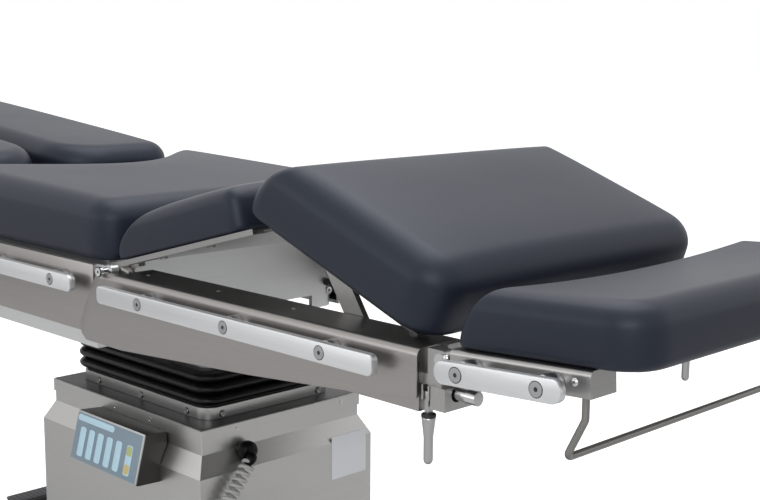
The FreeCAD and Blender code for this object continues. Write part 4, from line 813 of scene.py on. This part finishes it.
def housing():
    levels = square_levels(HOUSING_HALF, ((0, BASE_TOP), (0, BODY_TOP - 1), (-0.6, BODY_TOP)))
    levels += square_levels(NECK_HALF, (
        (0, SHOULDER_TOP), (0, LIP_BOTTOM), (LIP_OUT, LIP_BOTTOM + 0.8), (LIP_OUT, HOUSING_TOP - 1),
        (LIP_OUT - 1, HOUSING_TOP)))
    levels += square_levels(WELL_HALF, ((0, HOUSING_TOP),))
    outside, rings = sleeve(levels)
    bmesh.ops.edgeloop_fill(outside, edges=rings[0])
    well, well_rings = sleeve(square_levels(WELL_HALF, ((0, HOUSING_TOP), (0, WELL_BOTTOM))))
    bmesh.ops.edgeloop_fill(well, edges=well_rings[-1])
    shape = closed(joined(outside, well))
    piece("housing_shell", shape, "base", [UPRIGHT_SHEET], ("column_housing",), 25.0)


def housing_studs():
    lip_x, lip_y = (half + LIP_OUT for half in NECK_HALF)
    studs = [placed(hex_screw(STUD_RADIUS), (lip_x, y, STUD_Z), (1, 0, 0)) for y in END_STUDS_Y]
    studs += [placed(hex_screw(STUD_RADIUS), (x, -lip_y, STUD_Z), (0, -1, 0)) for x in SIDE_STUDS_X]
    piece("housing_studs", joined(*studs), "base", [BRIGHT, BLACK_AND_PAINTED_SHADE])


def bellows():
    height = (BELLOWS_TOP - BELLOWS_BOTTOM) / (FOLDS + FOLD_REST)
    steps = [(-FOLD_IN, BELLOWS_BOTTOM)]
    for fold in range(FOLDS):
        z = BELLOWS_BOTTOM + (fold + FOLD_REST) * height
        for share in FOLD_SHARES:
            swell = math.sin(share * math.pi) ** 0.5
            steps.append((-FOLD_IN + (FOLD_OUT + FOLD_IN) * swell, z + share * height))
    steps.append((-FOLD_IN, BELLOWS_TOP))
    levels = round_levels(COLLAR_HALF, COLLAR_CORNER, steps)
    inner = (COLLAR_HALF[0] - BELLOWS_WALL, COLLAR_HALF[1] - BELLOWS_WALL, COLLAR_CORNER / 2)
    levels += [(*inner, BELLOWS_TOP), (*inner, BELLOWS_BOTTOM), levels[0]]
    shape, _ = sleeve(levels, 8)
    made = object_from("bellows_folds", closed(shape), 60.0)
    made.data.materials.append(RUBBER)
    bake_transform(made)
    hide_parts("bellows")


# Metal strips with socket screws round the collar, and the dark mat under them

def raised_screw():
    # The thin ring under the head is near-black: a painted shadow round the screw's outline.
    shadow_ring = painted(rod(5.6, (0, 0, -0.5), (0, 0, 0.15)), 1)
    shank = rod(4.4, (0, 0, 0), (0, 0, 2.2))
    return joined(shadow_ring, shank, raised(hex_screw(4.5), (0, 0, 2.1)))


def collar_band():
    steps = (
        (0, BAND_BOTTOM), (BAND_THICK, BAND_BOTTOM), (BAND_THICK, BAND_TOP), (0, BAND_TOP), (0, BAND_BOTTOM))
    shape, _ = sleeve(round_levels(COLLAR_HALF, COLLAR_CORNER, steps), 8)
    piece("collar_band", closed(shape), "base", [BAND], ("collar_strips",), 30.0)


def top_mat():
    levels = square_levels(NECK_HALF, ((0, HOUSING_TOP - 0.2), (0, MAT_TOP)))
    levels.append((COLLAR_HALF[0] - 2, COLLAR_HALF[1] - 2, COLLAR_CORNER, MAT_TOP))
    shape, _ = sleeve(levels)
    bmesh.ops.recalc_face_normals(shape, faces=shape.faces)
    piece("housing_top_mat", shape, "base", [TOP_MAT], smooth=25.0)


def collar_screws():
    x, y = (half + BAND_THICK for half in COLLAR_HALF)
    z = (BAND_BOTTOM + BAND_TOP) / 2 - 2
    screws = []
    for side in (-1, 1):
        screws += [placed(raised_screw(), (station, side * y, z), (0, side, 0)) for station in SIDE_SCREWS_X]
        screws += [placed(raised_screw(), (side * x, station, z), (side, 0, 0)) for station in END_SCREWS_Y]
    piece("collar_screws", joined(*screws), "base", [SCREW, BLACK_AND_PAINTED_SHADE])


# Control box with its key panel

def on_face():
    middle = [(top + bottom) / 2 for top, bottom in zip(FACE_TOP, FACE_BOTTOM)]
    rise = Vector((0, FACE_TOP[0] - FACE_BOTTOM[0], FACE_TOP[1] - FACE_BOTTOM[1])).normalized()
    right = Vector((1, 0, 0))
    axes = Matrix((right, rise, right.cross(rise))).transposed().to_4x4()
    return Matrix.Translation(((FACE_LEFT + FACE_RIGHT) / 2, *middle)) @ axes


def tile(left, right, low, high, base, top, corner):
    return block((left, low, base), (right, high, top), 0.25, 2, corner, 6)


def control_shell():
    outline = (
        (-176, 374), (-176, 402), (-162, 432), (-162, 451), (-197, 454), FACE_TOP, FACE_BOTTOM, (-217, 376))
    shell = profile(outline, 0, FACE_LEFT, FACE_RIGHT, 1.0, 3)
    piece("control_shell", shell, "base", [BOX_DARK], ("control_box",), 30.0)


def key_panel():
    half_x = (FACE_RIGHT - FACE_LEFT) / 2
    half_y = math.hypot(FACE_TOP[0] - FACE_BOTTOM[0], FACE_TOP[1] - FACE_BOTTOM[1]) / 2
    rim = tile(-half_x, half_x, -half_y, half_y, -1.0, 0.9, 1.5)
    film = painted(tile(1.5 - half_x, half_x - 3.5, 1.5 - half_y, half_y - 3, 0.5, 1.3, 1.5), 1)
    header = painted(tile(4 - half_x, 14, half_y - 15, half_y - 5, 1.0, 1.7, 4.9), 2)
    keys = [
        painted(tile(middle - KEY_HALF_WIDTH, middle + KEY_HALF_WIDTH, KEY_LOW, KEY_HIGH, 1.2, 2.2, 4.0), 2)
        for middle in KEY_COLUMNS]
    left = KEY_COLUMNS[-1] - COLOUR_HALF_WIDTH
    right = KEY_COLUMNS[-1] + COLOUR_HALF_WIDTH
    green_top = KEY_HIGH - COLOUR_MARGIN
    yellow_low = KEY_LOW + COLOUR_MARGIN
    green = painted(tile(left, right, green_top - COLOUR_HEIGHT, green_top, 2.0, 2.6, 4.5), 3)
    yellow = painted(tile(left, right, yellow_low, yellow_low + COLOUR_HEIGHT, 2.0, 2.6, 4.5), 4)
    panel = moved(joined(rim, film, header, green, yellow, *keys), on_face())
    finishes = [RIM, PANEL_BLUE, KEY_BLUE, KEY_GREEN, KEY_YELLOW]
    piece("key_panel", panel, "base", finishes, ("keypad",), 30.0)


def bare_plate():
    shape = block((225, 87, 339), (225.7, 163, 411), 0.2, 2)
    bmesh.ops.bevel(
        shape, geom=[e for e in shape.edges if along(e, 0)], offset=2.0, offset_type="OFFSET", segments=4,
        profile=0.5, affect="EDGES", material=-1)
    piece("bare_plate", shape, "base", [PLATE], ("rating_plate",))


# Curly cord, its gland and the hand control

def gland():
    start = Vector(CORD_POINTS[0]) / MM - Vector((COLUMN_X / MM, 0, 0))
    out = (Vector(CORD_POINTS[1]) - Vector(CORD_POINTS[0])).normalized()
    flange = turned(((0, 9), (9, 8.4), (13, 6.2), (14.6, 3.4), (15, 1.5), (15, -6), (0, -6)))
    nozzle = turned((
        (0, -9), (5.0, -8), (7.4, -5), (8.4, 0), (7.8, 4), (5.6, 8), (4.2, 12), (3.6, 15), (0, 15)))
    shape = joined(placed(flange, GLAND_AT, (1, 0, 0)), placed(nozzle, start - out * NOZZLE_BACK, out))
    piece("cord_elbow", shape, "base", [GLAND], ("cord_gland",), 40.0)


def smooth_curve(name, points, resolution):
    data = bpy.data.curves.new(name, "CURVE")
    data.dimensions = "3D"
    data.resolution_u = resolution
    spline = data.splines.new("NURBS")
    spline.points.add(len(points) - 1)
    for point, place in zip(spline.points, points):
        point.co = (*place, 1.0)
    spline.order_u = 3
    spline.use_endpoint_u = True
    return data, bpy.data.objects.new(name, data)


def route_points():
    data, holder = smooth_curve("cord route", CORD_POINTS, 48)
    mesh = bpy.data.meshes.new_from_object(holder)
    points = [vertex.co.copy() for vertex in mesh.vertices]
    bpy.data.meshes.remove(mesh)
    bpy.data.objects.remove(holder)
    bpy.data.curves.remove(data)
    return points


def length_of(points):
    return sum((after - before).length for before, after in zip(points, points[1:]))


def along_route(points, travelled):
    for before, after in zip(points, points[1:]):
        run = (after - before).length
        if travelled <= run:
            return before.lerp(after, travelled / run), (after - before).normalized()
        travelled -= run
    return points[-1], (points[-1] - points[-2]).normalized()


def coil_points():
    points = route_points()
    length = length_of(points)
    steps = int(length / (COIL_PITCH * MM) * COIL_STEPS)
    side = Vector((1, 0, 0))
    coil = []
    for step in range(steps + 1):
        travelled = length * step / steps
        centre, forward = along_route(points, travelled)
        side = (side - forward * side.dot(forward)).normalized()
        other = forward.cross(side)
        open_up = min(1.0, travelled / (COIL_EASE * MM), (length - travelled) / (COIL_EASE * MM))
        radius = COIL_RADIUS * MM * math.sin(open_up * math.pi / 2)
        turn = 2 * math.pi * step / COIL_STEPS
        coil.append(centre + (side * math.cos(turn) + other * math.sin(turn)) * radius)
    return coil


def curly_cord():
    coil = coil_points()
    data, made = smooth_curve("curly_cord", coil, 3)
    data.bevel_depth = WIRE_RADIUS * MM
    data.bevel_resolution = 3
    data.use_fill_caps = True
    data.materials.append(CORD_GREY)
    bpy.context.scene.collection.objects.link(made)
    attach(made, "base")
    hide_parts("cord")
    length_of(coil)


def hand_control():
    x, y = HAND_CONTROL_AT
    bottom, top = HAND_CONTROL_Z
    body = block((x - 12, y - 24, bottom), (x + 12, y + 24, top), 2.5, 3, 8.0)
    neck = painted(raised(turned(((0, 0), (11, 0), (10.5, 2), (8.0, 8), (0, 8))), (x, y, top)), 1)
    film = painted(block((x + 11.6, y - 18, 214), (x + 12.0, y + 18, 256), 0.15, 1), 2)
    keys = []
    for row in range(3):
        for column in (-1, 1):
            low = (x + 11.8, y + column * 9 - 6, 218 + row * 12.5)
            keys.append(painted(block(low, (x + 12.3, low[1] + 12, low[2] + 9), 0.2, 2), 3))
    piece(
        "hand_control", joined(body, neck, film, *keys), "base",
        [GREY_PLASTIC, DARK_PLASTIC, PANEL_BLUE, KEY_BLUE], ("handset",), 35.0)


# Clamp levers

def clamp_lever(side):
    x, y = CLAMP_AT
    ring_top = CLAMP_PIVOT_Z - CLAMP_LINK
    link = block((x - 3, y - 4, ring_top - 1), (x + 3, y + 4, CLAMP_PIVOT_Z + 3.4), 0.5, 2)
    ring = turned(((0, 0), (7.8, 0), (8.5, 0.7), (8.5, 3.4), (7.8, 4), (0, 4)))
    grip = turned((
        (0, 0), (2.6, 0.7), (4.6, 2.6), (5.4, 5.4), (5.4, 31), (5.7, 34), (7.6, 50.2), (8.0, 52.6),
        (8.0, 53.4), (7.4, 54.5), (0, 54.5)))
    shape = joined(link, painted(raised(ring, (x, y, ring_top - 4)), 1), raised(grip, (x, y, CLAMP_GRIP_Z)))
    name = "clamp_lever_" + side
    piece("lever_grip_" + side, on_side(side, shape), name, [LEVER, BLACK_AND_PAINTED_SHADE], (name,), 40.0)


# Base cover, bumper, castor wheels and pedal tread

def base_cover():
    steps = [(-4, BASE_BOTTOM), (0, BASE_BOTTOM + 4), (0, BASE_TOP - BASE_ROUND)]
    for turn in (0.4, 0.8, 1.2, 1.57):
        steps.append((-BASE_ROUND * (1 - math.cos(turn)), BASE_TOP - BASE_ROUND * (1 - math.sin(turn))))
    shape, rings = sleeve(round_levels(BASE_HALF, BASE_CORNER, steps), 12)
    for loop in (rings[0], rings[-1]):
        bmesh.ops.edgeloop_fill(shape, edges=loop)
    bmesh.ops.recalc_face_normals(shape, faces=shape.faces)
    end = -BASE_HALF[0]
    lugs = [block((end - 18, y - 6, 120), (end + 2, y + 6, 138), 1.5, 3) for y in (-37.5, 37.5)]
    pivot = rod(5, (end - 10, -59.5, 129), (end - 10, 59.5, 129), 0.8)
    piece("base_shell", joined(shape, pivot, *lugs), "base", [COVER_SHEET], ("base_cover",))


def base_bumper():
    steps = [
        (out, BASE_BOTTOM + rise) for out, rise in ((-1, 8), (2, 9.5), (2.6, 14), (2, 18.5), (-1, 20))]
    shape, _ = sleeve(round_levels(BASE_HALF, BASE_CORNER, steps), 12)
    bmesh.ops.recalc_face_normals(shape, faces=shape.faces)
    piece("base_bumper", shape, "base", [COLLAR], smooth=60.0)


def castor_wheel(number, x, y):
    half = WHEEL_HALF_WIDTH
    tyre = turned((
        (27, -half + 1.5), (29, -half), (34.5, -half), (38.4, -half + 2.6), (39.6, -half + 6),
        (WHEEL_RADIUS, 0), (39.6, half - 6), (38.4, half - 2.6), (34.5, half), (29, half),
        (27, half - 1.5)), 56)
    hub = turned((
        (5.05, -half), (9, -half), (10, -half + 1), (11, -half + 4), (23, -half + 4.5), (25, -half + 1.5),
        (27.2, -half + 1.2), (27.2, half - 1.2), (25, half - 1.5), (23, half - 4.5), (11, half - 4),
        (10, half - 1), (9, half), (5.05, half), (5.05, -half)), 56)
    shape = placed(joined(tyre, painted(hub, 1)), (x - CASTOR_TRAIL, y, WHEEL_RADIUS), (0, 1, 0))
    name = "wheel_%d" % number
    piece(name, shape, name, [TYRE, GREY_PLASTIC], ("castor_wheel_%d" % number,))


def pedal_tread():
    tread = block((-578, -70, 133.6), (-534, 70, 136.5), 1.0, 2, 8.0)
    ribs = []
    for step in range(TREAD_RIBS):
        y = -62 + step * TREAD_PITCH
        ribs.append(block((-574, y, 136), (-538, y + 4, 137.6), 0.5, 1))
    piece("pedal_tread", joined(tread, *ribs), "brake_pedal", [TYRE])


# Small parts on the seat's end wall, the torso's hinge pins and the head frame

def end_wall_fittings():
    bolt = placed(hex_screw(6.5), (SEAT_END_X, 199, 621), (1, 0, 0))
    hose = turned(((0, 0), (6, 0), (6, 5), (4.6, 6), (4.6, 12), (3.6, 14), (0, 14)))
    shape = joined(bolt, placed(painted(hose, 1), (SEAT_END_X, 192, 636), (1, 0, 0)))
    piece("end_wall_fittings", shape, "seat", [BRIGHT, BLACK_AND_PAINTED_SHADE])


def hinge_pin_cap(side):
    x, z = TORSO_PIVOT
    # The ring under the cap's head is near-black: a painted shadow round the head's outline.
    shadow_ring = painted(rod(7.7, (0, 0, -1.4), (0, 0, -0.2), 0.2), 1)
    shape = placed(joined(shadow_ring, hex_screw(6.4, 0.8)), (x, -SHEET_OUTER_Y - PIN_HEAD_OUT, z), (0, -1, 0))
    piece("hinge_pin_cap_" + side, on_side(side, shape), "seat", [RAIL, BLACK_AND_PAINTED_SHADE])


def head_rivets(side):
    dome = ((0, 2.4), (2.4, 2.0), (4.2, 0.9), (4.8, 0), (4.8, -0.6), (0, -0.6))
    rivets = [placed(turned(dome, 24), (x, -HEAD_FRAME_OUTER_Y, z), (0, -1, 0)) for x, z in HEAD_RIVETS]
    shape = moved(joined(*rivets), on(HEAD_PIVOT, HEAD_TILT))
    piece("head_rivets_" + side, on_side(side, shape), "head", [BRIGHT])


# Camera, lights, backdrop and floor

def camera():
    turn = math.radians(CAMERA_TURN)
    down = math.radians(CAMERA_DOWN)
    roll = math.radians(CAMERA_ROLL)
    back = Vector((math.sin(turn) * math.cos(down), -math.cos(turn) * math.cos(down), math.sin(down)))
    level = Vector((math.cos(turn), math.sin(turn), 0))
    right = level * math.cos(roll) + back.cross(level) * math.sin(roll)
    data = bpy.data.cameras.new("camera")
    data.lens = CAMERA_LENS
    data.sensor_width = SENSOR_WIDTH
    data.sensor_fit = "HORIZONTAL"
    made = bpy.data.objects.new("camera", data)
    axes = Matrix((right, back.cross(right), back)).transposed().to_4x4()
    made.matrix_world = Matrix.Translation(Vector(CAMERA_AT) * MM + Vector((COLUMN_X, 0, 0))) @ axes
    bpy.context.scene.collection.objects.link(made)
    bpy.context.scene.camera = made


def area_light(name, place, aim, size, power):
    data = bpy.data.lights.new(name, "AREA")
    data.shape = "RECTANGLE"
    data.size, data.size_y = size
    data.energy = power
    made = bpy.data.objects.new(name, data)
    made.location = place
    made.rotation_euler = (Vector(aim) - Vector(place)).to_track_quat("-Z", "Y").to_euler()
    bpy.context.scene.collection.objects.link(made)


# The backdrop is full white to the camera and in reflections, and dimmer as a light.
def backdrop():
    world = bpy.data.worlds.new("studio")
    world.use_nodes = True
    bpy.context.scene.world = world
    tree = world.node_tree
    shader = tree.nodes["Background"]
    path = tree.nodes.new("ShaderNodeLightPath")
    seen = Value(tree, path.outputs["Is Camera Ray"])
    glossy = Value(tree, path.outputs["Is Glossy Ray"])
    through = Value(tree, path.outputs["Is Transmission Ray"])
    direct = seen + glossy + through
    shader.inputs["Color"].default_value = (1, 1, 1, 1)
    feed(tree, shader.inputs["Strength"], AMBIENT + direct.least(1.0) * (1 - AMBIENT))


# The floor glows to the camera only, so its glow lights nothing.
def floor():
    shape = bmesh.new()
    bmesh.ops.create_grid(shape, x_segments=1, y_segments=1, size=FLOOR_SIZE)
    mesh = bpy.data.meshes.new("floor")
    shape.to_mesh(mesh)
    shape.free()
    made = bpy.data.objects.new("floor", mesh)
    bpy.context.scene.collection.objects.link(made)
    material = bpy.data.materials.new("floor white")
    material.use_nodes = True
    mesh.materials.append(material)
    tree = material.node_tree
    shader = tree.nodes["Principled BSDF"]
    shader.inputs["Base Color"].default_value = (0.85, 0.85, 0.85, 1)
    shader.inputs["Roughness"].default_value = 0.9
    shader.inputs["Emission Color"].default_value = (1, 1, 1, 1)
    path = tree.nodes.new("ShaderNodeLightPath")
    seen = Value(tree, path.outputs["Is Camera Ray"])
    feed(tree, shader.inputs["Emission Strength"], seen * FLOOR_GLOW)


def repaint_frame():
    finishes = {
        CASING_SHEET: ("seat_frame",),
        STEEL: (
            "torso_end_frame", "head_frame", "lift_lever", "ridge_plate_lower", "leg_frame_near",
            "leg_frame_far", "leg_knuckle_near", "leg_knuckle_far", "lift_column", "mid_column",
            "tilt_cross"),
        WIRE_METAL: ("head_bow",),
        BRIGHT: (
            "head_pegs", "head_hinge_pins", "torso_hinge_pins", "ridge_pins", "castor_fork_1",
            "castor_fork_2", "castor_fork_3", "castor_fork_4"),
        COLLAR: ("bellows_collar",),
        GREY_PLASTIC: ("handset_holder",),
        DARK_STEEL: ("brake_pedal", "ridge_plate_upper"),
    }
    for material, nodes in finishes.items():
        for node in nodes:
            painted_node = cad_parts[node]
            painted_node.data.materials.clear()
            painted_node.data.materials.append(material)


camera()
backdrop()
floor()
for light in LIGHTS:
    area_light(*light)
bpy.context.scene.view_settings.view_transform = "Standard"
repaint_frame()
seat_pad()
lower_ridge_pad()
upper_ridge_pad()
head_cushion()
for side in SIDES:
    leg_cushion(side)
rails(
    "seat", left=-430, right=76, top=704.5, stations=(-370.0, -170.0, 20.0), inner_y=SEAT_SHEET_OUTER_Y,
    corner=8.0)
rails(
    "torso", left=148, right=711, top=700.0, stations=(250.0, 441.0, 623.0), inner_y=SHEET_OUTER_Y,
    corner=8.0)
rails(
    "head", left=18, right=186, top=RAIL_HEIGHT / 2 - 4.0, stations=(49.0, 156.0), inner_y=HEAD_FRAME_OUTER_Y,
    corner=12.0, tilt=on(HEAD_PIVOT, HEAD_TILT))
for side in SIDES:
    torso_side(side)
for side in SIDES:
    seat_side(side)
housing()
housing_studs()
bellows()
collar_band()
top_mat()
collar_screws()
control_shell()
key_panel()
bare_plate()
gland()
curly_cord()
hand_control()
for side in SIDES:
    clamp_lever(side)
base_cover()
base_bumper()
castor_places = [(x * CASTOR_AT[0], y * CASTOR_AT[1]) for x in (-1, 1) for y in (-1, 1)]
for number, (x, y) in enumerate(castor_places, 1):
    castor_wheel(number, x, y)
pedal_tread()
end_wall_fittings()
for side in SIDES:
    hinge_pin_cap(side)
for side in SIDES:
    head_rivets(side)
